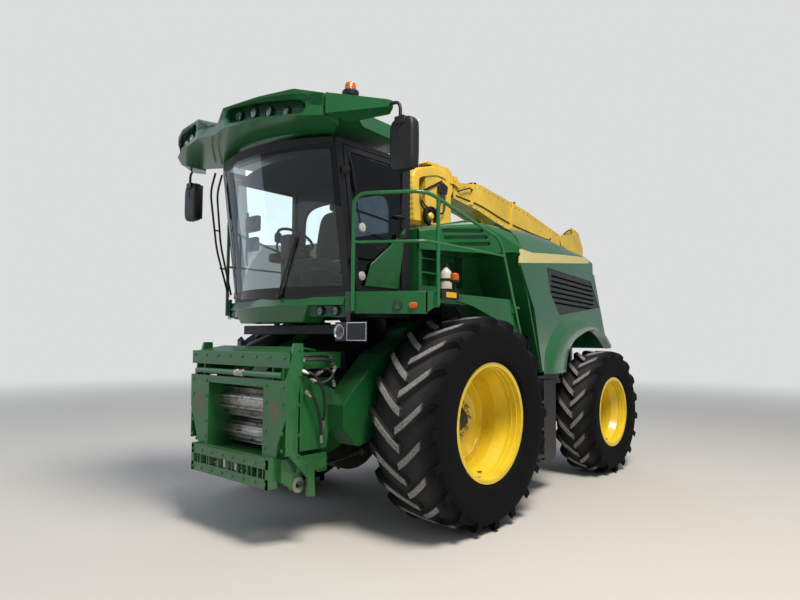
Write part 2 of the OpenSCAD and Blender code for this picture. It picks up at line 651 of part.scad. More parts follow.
// The feeder: throat, frame plate, lower beam, side hooks and arms to its hinge
module feeder_housing() color(green) machine() {
    difference() {
        union() {
            both_sides() {
                side_plate([[-1690, 700], [-990, 700], [-700, 800], [hinge_y, 800], [hinge_y, 1040],
                    [-1000, 1400], [-1690, 1400]], throat_half_w, throat_half_w + 30);
                x_bar(throat_half_w, throat_half_w + 30, hinge_y, hinge_z, 120);
                side_plate([[-1690, 620], [-1690, 1410], [-1620, 1670], [-1560, 1670], [-1560, 900],
                    [-1300, 620]], 690, 720);
                side_plate([[-1690, 700], [-1690, 480], [-1560, 480], [-1430, 370], [-1340, 370], [-1340, 430],
                    [-1200, 560], [-1200, 700]], 600, 660);
                block([throat_half_w + 30, -1260, 640], [600, -1200, 700]);
                for (x = [lift_x - 60, lift_x + 32]) side_plate([[-1200, 572], [-1100, 572], [-1100, 700],
                    [-1200, 700]], x, x + 28);
                block([throat_half_w + 30, -1260, 700], [lift_x + 60, -1100, 716]);
                x_bar(lift_x - 60, lift_x + 60, lift_eye.x, lift_eye.y, pin_r);
            }
            block([-760, -1720, 530], [760, -1690, 1410]);
            block([-600, -1800, 600], [600, -1720, 740]);
            block([-throat_half_w, -1690, 730], [throat_half_w, -1020, 760]);
            block([-throat_half_w, -1690, 1345], [throat_half_w, -1080, 1375]);
        }
        block([-throat_half_w, -1730, 760], [throat_half_w, -1680, 1345]);
        both_sides() x_bar(throat_half_w - 1, throat_half_w + 31, hinge_y, hinge_z, trunnion_r + fit_gap);
        both_sides() x_bar(590, 670, -1510, 530, header_bore_r);
        x_bar(-throat_half_w - 40, throat_half_w + 40, upper_roll_y, upper_roll_z, 35 + 0.1);
        x_bar(-throat_half_w - 40, throat_half_w + 40, lower_roll_y, lower_roll_z, 30 + 0.1);
    }
}

// The hood over the feeder with its lip and the lock bar in front
module feeder_hood() color(green) machine() {
    side_plate([[-1720, 1410], [-1720, 1500], [-1660, 1560], [-1250, 1690], [-1250, 1640], [-1600, 1520],
        [-1660, 1480], [-1660, 1410]], -560, 560);
    side_plate([[-1660, 1410], [-1660, 1480], [-1600, 1520], [-1250, 1640], [-1250, 1375], [-1560, 1375], [-1560, 1410]], -430, 430);
    x_bar(-560, 560, -1745, 1450, 25);
}

// A feed roll along X with bars round it; its shaft turns in the feeder's sides
module feed_roll(r, shaft_r, bars, bar_h) {
    half = throat_half_w - 6;
    rotate([0, 90, 0]) {
        translate([0, 0, -half]) cylinder(r = r - bar_h, h = 2 * half);
        translate([0, 0, -half - 34]) cylinder(r = shaft_r, h = 2 * half + 68);
        for (i = [0 : bars - 1]) rotate([0, 0, 360 / bars * i])
            translate([r - bar_h - 8, -8, -half]) cube([bar_h + 7, 16, 2 * half]);
    }
}
module feed_roll_upper() color(steel) machine() translate([0, upper_roll_y, upper_roll_z])
    feed_roll(upper_roll_r, 35, 10, 34);
module feed_roll_lower() color(steel) machine() translate([0, lower_roll_y, lower_roll_z])
    feed_roll(lower_roll_r, 30, 12, 16);

// The two lift cylinders under the feeder and, apart, their rods
lift_len = norm([lift_eye.x - lift_tail.x, lift_eye.y - lift_tail.y]);
lift_angle = atan2(lift_eye.y - lift_tail.y, lift_tail.x - lift_eye.x);
module on_lift() machine() both_sides() translate([lift_x, lift_tail.x, lift_tail.y])
    rotate([-lift_angle, 0, 0]) rotate([90, 0, 0]) children();
module lift_cylinders() color(black) on_lift() difference() {
    union() {
        translate([0, 0, 30]) cylinder(r = 44, h = 590);
        rotate([0, 90, 0]) cylinder(r = 40, h = 96, center = true);
        translate([0, 0, 0]) cylinder(r = 34, h = 40);
    }
    rotate([0, 90, 0]) cylinder(r = pin_r + fit_gap, h = 110, center = true);
    translate([0, 0, 100]) cylinder(r = lift_rod_r + 0.05, h = 600);
}
module lift_rods() color(steel) on_lift() difference() {
    union() {
        translate([0, 0, 300]) cylinder(r = lift_rod_r, h = lift_len - 310);
        translate([0, 0, lift_len]) rotate([0, 90, 0]) cylinder(r = 38, h = 60, center = true);
    }
    translate([0, 0, lift_len]) rotate([0, 90, 0]) cylinder(r = eye_r, h = 70, center = true);
}

// The spout's slewing turret: ring gear, chute and the elbow that turns the crop rearward
module spout_turret() color(yellow) machine() {
    translate([0, turret_y, turret_z]) difference() {
        cylinder(r = turret_r, h = 100);
        translate([0, 0, -1]) cylinder(r = spout_half_w - plate_t, h = 102);
    }
    both_sides() side_plate(chute_edge, spout_half_w - plate_t, spout_half_w);
    plate_run(chute_front, -plate_t, 0);
    plate_run(chute_rear, 0, plate_t);
    for (x = [-70, 50]) difference() {
        side_plate([[1250, 3170], [1330, 3170], [1330, 3270], [1250, 3300]], x, x + 20);
        x_bar(x - 1, x + 21, tail_pin.x, tail_pin.y, pin_r + 0.1);
    }
    x_bar(-70, 70, tail_pin.x, tail_pin.y, pin_r);
    both_sides() {
        side_plate([[1230, 3730], [1330, 3730], [1330, 3830], [1230, 3830]], spout_half_w, spout_half_w + 14);
        x_bar(spout_half_w, spout_half_w + 40, spout_hinge.x, spout_hinge.y, 18);
    }
}

// The chute's side view: its front and top, then its rear wall down: [y, z]
chute_top_edge = [[740, turret_z + 100], [740, 3800], [900, 3900], [1250, 3900], [1290, 3800]];
chute_edge = concat(chute_top_edge, [[1290, 3640], [1250, 3560], [1250, turret_z + 100]]);
chute_front = [[740, turret_z + 100], [740, 3800], [900, 3900], [1250, 3900], [1290, 3800]];
chute_rear = [[1250, turret_z + 100], [1250, 3560], [1290, 3640]];

// Plates between the spout's sides along a run of [y, z] points, from the offsets a to b to its left
module plate_run(run, a, b) for (i = [0 : len(run) - 2]) let (d = (run[i + 1] - run[i]) / norm(run[i + 1] - run[i]),
    n = [-d.y, d.x], p = run[i] + d * plate_t * 0.5, q = run[i + 1] - d * plate_t * 0.5)
    side_plate([p + n * a, q + n * a, q + n * b, p + n * b], -spout_half_w + plate_t + fit_gap,
        spout_half_w - plate_t - fit_gap);

module spout_cover() color(yellow) machine() side_plate([[760, 3900], [800, 3930], [1220, 3930],
    [1250, 3900]], -spout_half_w + 20, spout_half_w - 20);

// The boom's side view: top edge, then bottom edge back: [y, z]
boom_top = [[1310, 3760], [1900, 3850], [3070, 3700], [4200, 3470]];
boom_bottom = [[4200, 3260], [3500, 3270], [2650, 3330], [2380, 3370], [1900, 3480], [1450, 3540], [1310, 3560]];

module spout_boom() color(yellow) machine() {
    both_sides() side_plate(concat(boom_top, boom_bottom), spout_half_w - plate_t, spout_half_w);
    plate_run(boom_top, -plate_t, 0);
    plate_run(boom_bottom, -plate_t, 0);
    both_sides() difference() {
        side_plate([[1270, 3730], [1400, 3690], [1400, 3770], [1330, 3830], [1270, 3830]],
            spout_half_w + 14 + fit_gap, spout_half_w + 32);
        x_bar(spout_half_w, spout_half_w + 40, spout_hinge.x, spout_hinge.y, 18 + fit_gap);
    }
    both_sides() {
        block([spout_half_w, 1350, 3700], [spout_half_w + 32, 1400, 3760]);
        side_plate([[4190, 3400], [4190, 3462], [4285, 3462], [4285, 3400]], spout_half_w - plate_t, spout_half_w);
        x_bar(spout_half_w - 1, spout_half_w + 16, flap_pin.x, flap_pin.y, 10);
    }
    for (x = [-70, 50]) side_plate([[eye_pin.x - 50, eye_pin.y - 45], [eye_pin.x + 50, eye_pin.y - 45],
        [eye_pin.x + 70, eye_pin.y + 80], [eye_pin.x - 70, eye_pin.y + 80]], x, x + 20);
    x_bar(-70, 70, eye_pin.x, eye_pin.y, 16);
}

module spout_flap() color(yellow) machine() {
    both_sides() difference() {
        side_plate([[4225, 3440], [4225, 3290], [4600, 3230], [5050, 3190], [5050, 3215], [4600, 3400],
            [4260, 3470]], spout_half_w + 1, spout_half_w + 13);
        x_bar(spout_half_w, spout_half_w + 40, flap_pin.x, flap_pin.y, 10 + fit_gap);
    }
    side_plate([[4310, 3447], [4600, 3388], [5050, 3203], [5050, 3215], [4600, 3400], [4310, 3459]],
        -spout_half_w - 13, spout_half_w + 13);
}

spout_len = norm(eye_pin - tail_pin);
spout_angle = atan2(eye_pin.y - tail_pin.y, eye_pin.x - tail_pin.x);
module on_spout() machine() translate([0, tail_pin.x, tail_pin.y]) rotate([spout_angle, 0, 0])
    rotate([-90, 0, 0]) children();
module spout_cylinder() color(black) on_spout() difference() {
    union() {
        translate([0, 0, 24]) cylinder(r = 36, h = 560);
        rotate([0, 90, 0]) cylinder(r = 34, h = 90, center = true);
    }
    rotate([0, 90, 0]) cylinder(r = pin_r + fit_gap, h = 110, center = true);
    translate([0, 0, 100]) cylinder(r = lift_rod_r + 0.05, h = 600);
}
module spout_rod() color(steel) on_spout() difference() {
    union() {
        translate([0, 0, 130]) cylinder(r = lift_rod_r, h = spout_len - 140);
        translate([0, 0, spout_len]) rotate([0, 90, 0]) cylinder(r = 40, h = 60, center = true);
    }
    translate([0, 0, spout_len]) rotate([0, 90, 0]) cylinder(r = 28, h = 70, center = true);
}

chassis_frame();
front_axle();
rear_axle();
engine_block();
cutterhead_housing();
drive_covers();
cab_body();
cab_glass();
cab_roof();
lamps();
amber_lamps();
mirrors();
wipers();
operator_seat();
steering_column();
nose_panel();
platforms();
handrails();
access_ladder();
hood_front();
hood_top();
rear_panel();
counterweight();
side_tanks();
steering_cylinder();
cab_door();
door_glass();
side_panel_left();
side_panel_right();
side_grille_left();
side_grille_right();
front_tyre_left();
front_tyre_right();
front_rim_left();
front_rim_right();
rear_tyre_left();
rear_tyre_right();
rear_rim_left();
rear_rim_right();
knuckle_left();
knuckle_right();
steering_rod();
feeder_housing();
feeder_hood();
feed_roll_upper();
feed_roll_lower();
spout_turret();
spout_boom();
spout_cover();
spout_flap();
spout_cylinder();
spout_rod();
lift_cylinders();
lift_rods();
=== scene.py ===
# Self-propelled forage harvester, parked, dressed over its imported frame.
# Lengths are metres. In the frame -Y is the front, +X the machine's left, +Z up.
import math
import bmesh
import bpy
import numpy as np
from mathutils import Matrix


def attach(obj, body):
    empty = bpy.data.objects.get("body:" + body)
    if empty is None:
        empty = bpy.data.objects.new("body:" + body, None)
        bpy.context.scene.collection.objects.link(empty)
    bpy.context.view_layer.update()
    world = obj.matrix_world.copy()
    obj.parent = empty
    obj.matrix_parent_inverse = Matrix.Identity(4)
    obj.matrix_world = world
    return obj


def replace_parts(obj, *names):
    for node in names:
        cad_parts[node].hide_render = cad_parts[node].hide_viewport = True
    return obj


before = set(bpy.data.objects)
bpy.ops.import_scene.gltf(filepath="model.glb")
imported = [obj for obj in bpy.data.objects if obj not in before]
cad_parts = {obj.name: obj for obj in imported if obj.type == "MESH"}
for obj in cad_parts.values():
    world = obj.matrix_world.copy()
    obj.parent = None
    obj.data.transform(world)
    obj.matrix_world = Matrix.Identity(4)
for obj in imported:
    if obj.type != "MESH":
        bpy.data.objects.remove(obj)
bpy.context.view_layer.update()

# Camera: a phone held at chest height off the front left corner, wide angle.
# Its place and turn come from the ellipses of the wheel rims in the picture.
CAMERA_PLACE = (4.75, -6.34, 1.76)
CAMERA_TURN = math.radians(41.59)      # from +Y towards -X
CAMERA_TILT = math.radians(3.7)
CAMERA_ROLL = math.radians(0.36)
SENSOR = 36.0
FOCAL_SHARE = 606.16 / 800.0       # focal length over the picture's width
camera = bpy.data.objects.new("camera", bpy.data.cameras.new("camera"))
camera.data.sensor_fit = "HORIZONTAL"
camera.data.sensor_width = SENSOR
camera.data.lens = SENSOR * FOCAL_SHARE
camera.location = CAMERA_PLACE
camera.rotation_euler = (math.radians(90) + CAMERA_TILT, 0.0, CAMERA_TURN)
camera.rotation_euler.rotate_axis("Z", CAMERA_ROLL)
bpy.context.scene.collection.objects.link(camera)
bpy.context.scene.camera = camera
bpy.context.scene.view_settings.view_transform = "Standard"

# Studio: a plain pale floor that runs into a pale surround, and soft light.
# A large warm panel stands high at the front left, with a weak fill and a back light.
FLOOR_HALF = 400.0
BACKDROP = "#dcdddd"


def linear(code):
    """An sRGB hex colour as linear red, green, blue and alpha."""
    parts = np.array([int(code[i:i + 2], 16) for i in (1, 3, 5)]) / 255.0
    return (*np.where(parts <= 0.04045, parts / 12.92, ((parts + 0.055) / 1.055) ** 2.4), 1.0)


def fill(node, *values, stops=(), **given):
    """Fills inputs, in order or by name, with sockets, hex colours or values; sets properties.

    stops are a colour ramp's pairs of position and hex colour."""
    for k, (place, code) in enumerate(stops):
        elements = node.color_ramp.elements
        element = elements[k] if k < len(elements) else elements.new(1.0)
        element.position, element.color = place, linear(code)
    for key, value in [*enumerate(values), *given.items()]:
        name = key if isinstance(key, int) else key.replace("_", " ")
        if isinstance(name, str) and name not in node.inputs:
            setattr(node, key, value)
        elif isinstance(value, bpy.types.NodeSocket):
            node.id_data.links.new(value, node.inputs[name])
        else:
            node.inputs[name].default_value = linear(value) if isinstance(value, str) else value
    return node


def add(tree, kind, *values, out=0, **given):
    """Adds a node with its settings and links, and gives one of its outputs or a slice of them."""
    return fill(tree.nodes.new("ShaderNode" + kind), *values, **given).outputs[out]


def material(name, **sockets):
    """A new material of that name: itself, its node tree and its filled shader."""
    made = bpy.data.materials.new(name)
    made.use_nodes = True
    return made, made.node_tree, fill(made.node_tree.nodes["Principled BSDF"], **sockets)


floor_mesh = bpy.data.meshes.new("floor")
floor_mesh.from_pydata([(x * FLOOR_HALF, y * FLOOR_HALF, 0.0) for x, y in
                        ((-1, -1), (1, -1), (1, 1), (-1, 1))], [], [(0, 1, 2, 3)])
floor = bpy.data.objects.new("floor", floor_mesh)
bpy.context.scene.collection.objects.link(floor)
# Matt grey-white that fades to an even backdrop from 7 to 24 metres out
pale, tree, shader = material("pale_matt_floor", Roughness=0.95, Specular_IOR_Level=0.1,
                              Base_Color="#cfcdc8")
far = add(tree, "VectorMath", add(tree, "TexCoord", out="Object"), operation="LENGTH",
          out="Value")
fade = add(tree, "MapRange", far, 7.0, 24.0, interpolation_type="SMOOTHSTEP")
glow = add(tree, "Emission", Color=BACKDROP, Strength=1.0)
fill(tree.nodes["Material Output"],
     Surface=add(tree, "MixShader", fade, shader.outputs[0], glow))
floor_mesh.materials.append(pale)

world = bpy.data.worlds.new("soft_surround")
bpy.context.scene.world = world
world.use_nodes = True
tree = world.node_tree
tree.nodes.clear()
sky_shader = add(tree, "Background", Color="#dbe5f0", Strength=0.4)
seen_shader = add(tree, "Background", Color=BACKDROP, Strength=1.0)
seen = add(tree, "LightPath", out="Is Camera Ray")
fill(tree.nodes.new("ShaderNodeOutputWorld"),
     Surface=add(tree, "MixShader", seen, sky_shader, seen_shader))


def area_light(name, place, aim, size, watts, code):
    """A square soft box at place that faces aim."""
    lamp = bpy.data.lights.new(name, "AREA")
    lamp.size, lamp.energy, lamp.color = size, watts, linear(code)[:3]
    made = bpy.data.objects.new(name, lamp)
    made.location = place
    turn = np.array(aim) - np.array(place)
    made.rotation_euler = (math.atan2(math.hypot(turn[0], turn[1]), -turn[2]), 0.0,
                           math.atan2(turn[1], turn[0]) - math.pi / 2)
    bpy.context.scene.collection.objects.link(made)


area_light("key_panel", (6.5, -4.0, 12.0), (0.0, 0.0, 1.5), 4.0, 1900, "#fff6ea")
area_light("fill_panel", (-9.0, -8.0, 6.0), (0.0, 0.0, 1.5), 8.0, 200, "#e6f0ff")
area_light("back_panel", (-9.0, 8.0, 9.0), (0.0, 0.0, 2.0), 9.0, 300, "#eef4ff")

# Painted sheet and castings: two-pack enamel, sprayed over primer, glossy on the body.
# Fine dust settles on what faces up, and field dirt dulls the lowest metre.
# A pattern's scale is its cells per metre: 160 is an orange peel of 6 mm, coarse enough to show.
AXLE_Y = -1.5           # the front axle's place along the frame
EDGE_ROUND = 0.004      # how far pressed and cut edges look rounded
BARE_STEEL = "#4a3a2e"


def scaled(code, share):
    """A hex colour whose parts are multiplied by a share."""
    return "#" + "".join(f"{min(255, int(int(code[i:i + 2], 16) * share)):02x}"
                         for i in (1, 3, 5))


def dusted(tree, place, colour, dust, dirt_code):
    """Mixes dirt into a colour: on what faces up and near the ground. Gives colour and amount."""
    up = add(tree, "SeparateXYZ", add(tree, "NewGeometry", out="Normal"), out="Z")
    height = add(tree, "SeparateXYZ", place, out="Z")
    both = add(tree, "Math", add(tree, "MapRange", up, 0.3, 1.0, 0.0, dust),
               add(tree, "MapRange", height, 1.3, 0.2, 0.0, dust * 1.2), operation="ADD")
    fine = add(tree, "TexNoise", place, Scale=30.0, Detail=8.0, Roughness=0.72)
    amount = add(tree, "Math", both, add(tree, "MapRange", fine, 0.38, 0.72),
                 operation="MULTIPLY", use_clamp=True)
    return add(tree, "MixRGB", amount, colour, dirt_code), amount


def rough_bump(tree, shader, place, scale, strength, rounding=EDGE_ROUND):
    """Fine bump over edges that look rounded by a small radius."""
    soft = {"Normal": add(tree, "Bevel", samples=4, Radius=rounding)} if rounding else {}
    grain = add(tree, "TexNoise", place, Scale=scale, Detail=3.0)
    fill(shader, Normal=add(tree, "Bump", Strength=strength, Distance=0.002, Height=grain, **soft))


def enamel(name, code, dirt_code, rough, dust, chips=0.0, stripe=None):
    """Enamel of one colour with orange peel, dust from above, splashed dirt and worn chips.

    stripe is a function of the tree and the place that gives (mask socket, hex colour)."""
    made, tree, shader = material(name, Coat_Weight=0.4 if rough < 0.4 else 0.06,
                                  Coat_Roughness=0.07)
    place = add(tree, "TexCoord", out="Object")
    cloud = add(tree, "TexNoise", place, Scale=1.6, Detail=6.0, Roughness=0.6)
    colour = add(tree, "ValToRGB", cloud, stops=[(0.3, scaled(code, 0.9)),
                                                 (0.7, scaled(code, 1.08))])
    if stripe:
        mask, second = stripe(tree, place)
        colour = add(tree, "MixRGB", mask, colour, second)
    colour, amount = dusted(tree, place, colour, dust, dirt_code)
    if chips:
        # Sharp islands of bare, rusted steel
        islands = add(tree, "TexNoise", place, Scale=9.0, Detail=10.0, Roughness=0.75)
        cut = add(tree, "MapRange", islands, 0.66 - chips, 0.68 - chips)
        colour = add(tree, "MixRGB", cut, colour, BARE_STEEL)
    dull = add(tree, "MapRange", amount, 0.0, 1.0, rough, min(rough + 0.45, 0.9))
    fill(shader, Base_Color=colour, Roughness=dull)
    rough_bump(tree, shader, place, 160.0, 0.03)
    return made


def dress(made, *names):
    """Gives CAD nodes a material in every slot."""
    for name in names:
        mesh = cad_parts[name].data
        mesh.materials.clear()
        mesh.materials.append(made)


def stripe_mask(tree, place):
    """The pale stripe along a side panel: above a rising line and behind a slanted cut."""
    rise = 0.1083
    x, y, z = add(tree, "SeparateXYZ", place, out=slice(3))
    edge = add(tree, "Math", y, rise, 2.57 - rise * (0.78 + AXLE_Y), operation="MULTIPLY_ADD")
    above = add(tree, "Math", z, edge, operation="GREATER_THAN")
    back = add(tree, "Math", y, 3.22 + AXLE_Y, operation="LESS_THAN")
    return add(tree, "Math", above, back, operation="MULTIPLY"), "#d8cb80"


def scuff_mask(tree, place):
    """Brown scuffs where crop and headers rub the feeder's face beside its throat."""
    x, y, z = add(tree, "SeparateXYZ", place, out=slice(3))
    spots = add(tree, "TexNoise", place, Scale=11.0, Detail=9.0, Roughness=0.7)
    mask = add(tree, "MapRange", spots, 0.42, 0.6)
    across = add(tree, "Math", x, operation="ABSOLUTE")
    for source, middle, reach in ((across, 0.585, 0.1), (z, 1.15, 0.13), (y, -1.71 + AXLE_Y, 0.06)):
        away = add(tree, "Math", add(tree, "Math", source, middle, operation="SUBTRACT"),
                   operation="ABSOLUTE")
        mask = add(tree, "Math", mask, add(tree, "MapRange", away, reach, reach * 0.3),
                   operation="MULTIPLY")
    return mask, "#6b4a3c"


# Glossy deep green on the body, duller and dirtier paint on what works near the ground
GREEN = "#175a2c"
BODY_DIRT, LOW_DIRT = "#8f8a72", "#7d745f"
body_green = enamel("green_body_enamel", GREEN, BODY_DIRT, 0.24, 0.1)
panel_green = enamel("green_striped_panel_enamel", GREEN, BODY_DIRT, 0.24, 0.1,
                     stripe=stripe_mask)
chassis_green = enamel("green_chassis_enamel", "#15552a", LOW_DIRT, 0.34, 0.22)
feeder_green = enamel("green_scuffed_feeder_enamel", "#1b6431", LOW_DIRT, 0.36, 0.22, 0.02,
                      scuff_mask)
black_enamel = enamel("black_chassis_enamel", "#131416", "#6d675c", 0.45, 0.3, 0.02)
spout_yellow = enamel("yellow_spout_enamel", "#d8b43c", "#8f7f55", 0.38, 0.15, 0.015)
rim_yellow = enamel("yellow_rim_enamel", "#e3c528", "#b09a5c", 0.38, 0.06)
dress(body_green, "cab_roof", "nose_panel", "hood_front", "hood_top", "rear_panel", "platforms")
dress(panel_green, "side_panel_left", "side_panel_right")
dress(feeder_green, "feeder_housing", "feeder_hood")
dress(chassis_green, "drive_covers")
dress(black_enamel, "chassis_frame", "front_axle", "rear_axle", "engine_block",
      "cutterhead_housing", "counterweight", "side_tanks", "steering_cylinder", "knuckle_left",
      "knuckle_right", "access_ladder", "lift_cylinders", "spout_cylinder")
dress(spout_yellow, "spout_turret", "spout_boom", "spout_cover", "spout_flap")
dress(rim_yellow, "front_rim_left", "front_rim_right", "rear_rim_left", "rear_rim_right")

# Plastics, bare steel and glass of the CAD's own pieces.
# Moulded plastic has a fine grain, rods are ground and chromed, rolls are worn bright over rust.


def surface(name, code, rough, metallic=0.0, mottle=0.1, grain=350.0, depth=0.08, dust=0.08,
            patch=None, rounding=EDGE_ROUND):
    """Mottled colour, grain and dust on one material; patch is (share, hex colour) of stains."""
    made, tree, shader = material(name, Metallic=metallic)
    place = add(tree, "TexCoord", out="Object")
    cloud = add(tree, "TexNoise", place, Scale=5.0, Detail=8.0, Roughness=0.65)
    colour = add(tree, "ValToRGB", cloud, stops=[(0.3, scaled(code, 1 - mottle)),
                                                 (0.7, scaled(code, 1 + mottle))])
    if patch:
        spots = add(tree, "TexNoise", place, Scale=14.0, Detail=9.0, Roughness=0.7)
        cut = add(tree, "MapRange", spots, 0.62 - patch[0], 0.72 - patch[0])
        colour = add(tree, "MixRGB", cut, colour, patch[1])
        fill(shader, Metallic=add(tree, "MapRange", cut, 0.0, 1.0, metallic, metallic * 0.3))
    colour, amount = dusted(tree, place, colour, dust, "#8a8171")
    dull = add(tree, "MapRange", cloud, 0.3, 0.7, max(rough - 0.05, 0.03), min(rough + 0.12, 1.0))
    fill(shader, Base_Color=colour, Roughness=dull)
    rough_bump(tree, shader, place, grain, depth, rounding)
    return made


def glass(name, code, border=None):
    """Clear sheet glass that lets shadow rays through; border gives a mask of black print."""
    made, tree, shader = material(name, Transmission_Weight=1.0, IOR=1.45, Base_Color=code)
    place = add(tree, "TexCoord", out="Object")
    smears = add(tree, "TexNoise", place, Scale=3.0, Detail=9.0, Roughness=0.7)
    shadow = add(tree, "LightPath", out="Is Shadow Ray")
    fill(shader, Roughness=add(tree, "MapRange", smears, 0.4, 0.8, 0.0, 0.025),
         Alpha=add(tree, "Math", shadow, -0.8, 1.0, operation="MULTIPLY_ADD"))
    if border:
        mask = border(tree, place)
        fill(shader, Base_Color=add(tree, "MixRGB", mask, code, "#0c0d0e"),
             Transmission_Weight=add(tree, "Math", 1.0, mask, operation="SUBTRACT"))
    return made


def screen_border(tree, place):
    """The black print round the windscreen and the side pane: near their edges."""
    x, y, z = add(tree, "SeparateXYZ", place, out=slice(3))
    wide = add(tree, "Math", add(tree, "Math", x, operation="ABSOLUTE"), 0.83,
               operation="GREATER_THAN")
    front = add(tree, "Math", y, -1.15 + AXLE_Y, operation="LESS_THAN")
    side = add(tree, "Math", wide, front, operation="MULTIPLY")
    ends = add(tree, "Math", add(tree, "Math", z, 3.42, operation="GREATER_THAN"),
               add(tree, "Math", z, 2.225, operation="LESS_THAN"), operation="MAXIMUM")
    return add(tree, "Math", side, ends, operation="MAXIMUM")


# Injection-moulded plastics: a matt grain of 2 mm, coarser than the real one so that it shows
black_plastic = surface("black_moulded_plastic", "#121316", 0.5, grain=500.0, depth=0.15)
grey_plastic = surface("dark_grey_grille_plastic", "#202226", 0.48, grain=420.0, depth=0.12,
                       dust=0.12)
trim_plastic = surface("cab_trim_plastic", "#26282b", 0.62, grain=600.0, depth=0.2, dust=0.04)
# Metals: mirror-bright chrome, feed rolls worn bright between rust, dull plated zinc
chrome = surface("ground_chromed_rod", "#c9cbcc", 0.12, 1.0, 0.03, 60.0, 0.01, 0.0)
worn_steel = surface("worn_roll_steel", "#a9a6a0", 0.34, 1.0, 0.18, 90.0, 0.2, 0.1,
                     (0.08, "#4a3527"))
zinc = surface("zinc_plated_steel", "#a8a69c", 0.36, 0.9, 0.12, 200.0, 0.06, 0.1)
# Toughened glass: faintly green and clear in front, smoked on the door
clear_glass = glass("clear_windscreen_glass", "#e9f1ee", screen_border)
tinted_glass = glass("tinted_door_glass", "#3d474f")
dress(black_plastic, "cab_body", "cab_door", "wipers", "steering_column")
dress(grey_plastic, "side_grille_left", "side_grille_right")
dress(chrome, "lift_rods", "spout_rod", "steering_rod")
dress(worn_steel, "feed_roll_upper", "feed_roll_lower")
dress(clear_glass, "cab_glass")
dress(tinted_glass, "door_glass")

# Tyres: black rubber on a woven carcass, moulded with bars that meet at the middle.
# Bar faces are worn pale and dusty, and the ground between them stays dark.
FRONT_AXLE = np.array([0.0, AXLE_Y, 0.0])      # sizes from here on are measured from it
ROUND = 2 * math.pi
SIDES = ("left", "right")
# name: (centre x, y, z, radius, width, rim radius, bars)
TYRES = {"front": (1.295, 0.0, 0.99, 0.99, 0.74, 0.559, 20),
         "rear": (1.225, 3.21, 0.81, 0.81, 0.52, 0.457, 18)}
BAR_HEIGHT = 0.052
BEAD_SHARE = 0.43       # half the rim's width over the tyre's width
TYRE_STEPS = 144


def around(count):
    """Angles evenly spaced round a circle."""
    return np.linspace(0, ROUND, count, endpoint=False)


def grid(rows, loop_rows=False, loop_columns=False):
    """Quads between neighbours of rows of points; a looped way closes on itself."""
    points = np.asarray(rows)
    index = np.arange(points.shape[0] * points.shape[1]).reshape(points.shape[:2])
    if loop_rows:
        index = np.vstack([index, index[:1]])
    if loop_columns:
        index = np.hstack([index, index[:, :1]])
    quads = np.stack([index[:-1, :-1], index[1:, :-1], index[1:, 1:], index[:-1, 1:]], axis=-1)
    return points.reshape(-1, 3), quads.reshape(-1, 4).tolist()


def capped(rings):
    """A tube of rings, closed by a face at each end."""
    points, faces = grid(rings, loop_columns=True)
    count, last = len(rings[0]), len(points) - len(rings[0])
    return points, faces + [list(range(count)), list(range(last, last + count))]


def joined(parts):
    """Several (points, faces) parts as one."""
    points, faces, start = [], [], 0
    for part_points, part_faces in parts:
        points.append(part_points)
        faces += [[k + start for k in face] for face in part_faces]
        start += len(part_points)
    return np.vstack(points), faces


def flipped(part):
    """The same part on the machine's other side."""
    return part[0] * (-1, 1, 1), [face[::-1] for face in part[1]]


def paired(*parts):
    """Parts and the same parts on the machine's other side."""
    return [*parts, *(flipped(part) for part in parts)]


def rotated(part, turn, axis=0):
    """A part turned about the X axis, or about another one by its number."""
    c, s = math.cos(turn), math.sin(turn)
    i, j = (axis + 1) % 3, (axis + 2) % 3
    matrix = np.eye(3)
    matrix[i, i], matrix[i, j], matrix[j, i], matrix[j, j] = c, s, -s, c
    return part[0] @ matrix, part[1]


def curve(points, steps=8):
    """A smooth path through points: its slope at a point follows the neighbours."""
    points = np.asarray(points, dtype=float)
    held = np.vstack([2 * points[0] - points[1], points, 2 * points[-1] - points[-2]])
    t = np.linspace(0, 1, steps, endpoint=False)[:, None]
    rows = [0.5 * (2 * b + (c - a) * t + (2 * a - 5 * b + 4 * c - d) * t ** 2
                   + (3 * b - a - 3 * c + d) * t ** 3)
            for a, b, c, d in zip(held, held[1:], held[2:], held[3:])]
    return np.vstack(rows + [points[-1:]])


def new_object(name, points, faces):
    """A linked object of a mesh whose faces look outwards."""
    mesh = bpy.data.meshes.new(name)
    mesh.from_pydata(np.asarray(points).tolist(), [], faces)
    work = bmesh.new()
    work.from_mesh(mesh)
    bmesh.ops.recalc_face_normals(work, faces=work.faces)
    work.to_mesh(mesh)
    work.free()
    made = bpy.data.objects.new(name, mesh)
    bpy.context.scene.collection.objects.link(made)
    return made


def piece(name, parts, made, body="chassis", angle=32, bevel=0.0):
    """Makes an object of parts measured from the front axle; it rides on a body."""
    points, faces = joined(parts)
    thing = new_object(name, points + FRONT_AXLE, faces)
    thing.data.materials.append(made)
    thing.data.shade_smooth()
    thing.data.set_sharp_from_angle(angle=math.radians(angle))
    if bevel:
        edge = thing.modifiers.new("rounded_edges", "BEVEL")
        edge.width = bevel
        edge.segments = 2
        edge.limit_method = "ANGLE"
    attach(thing, body)
    return thing


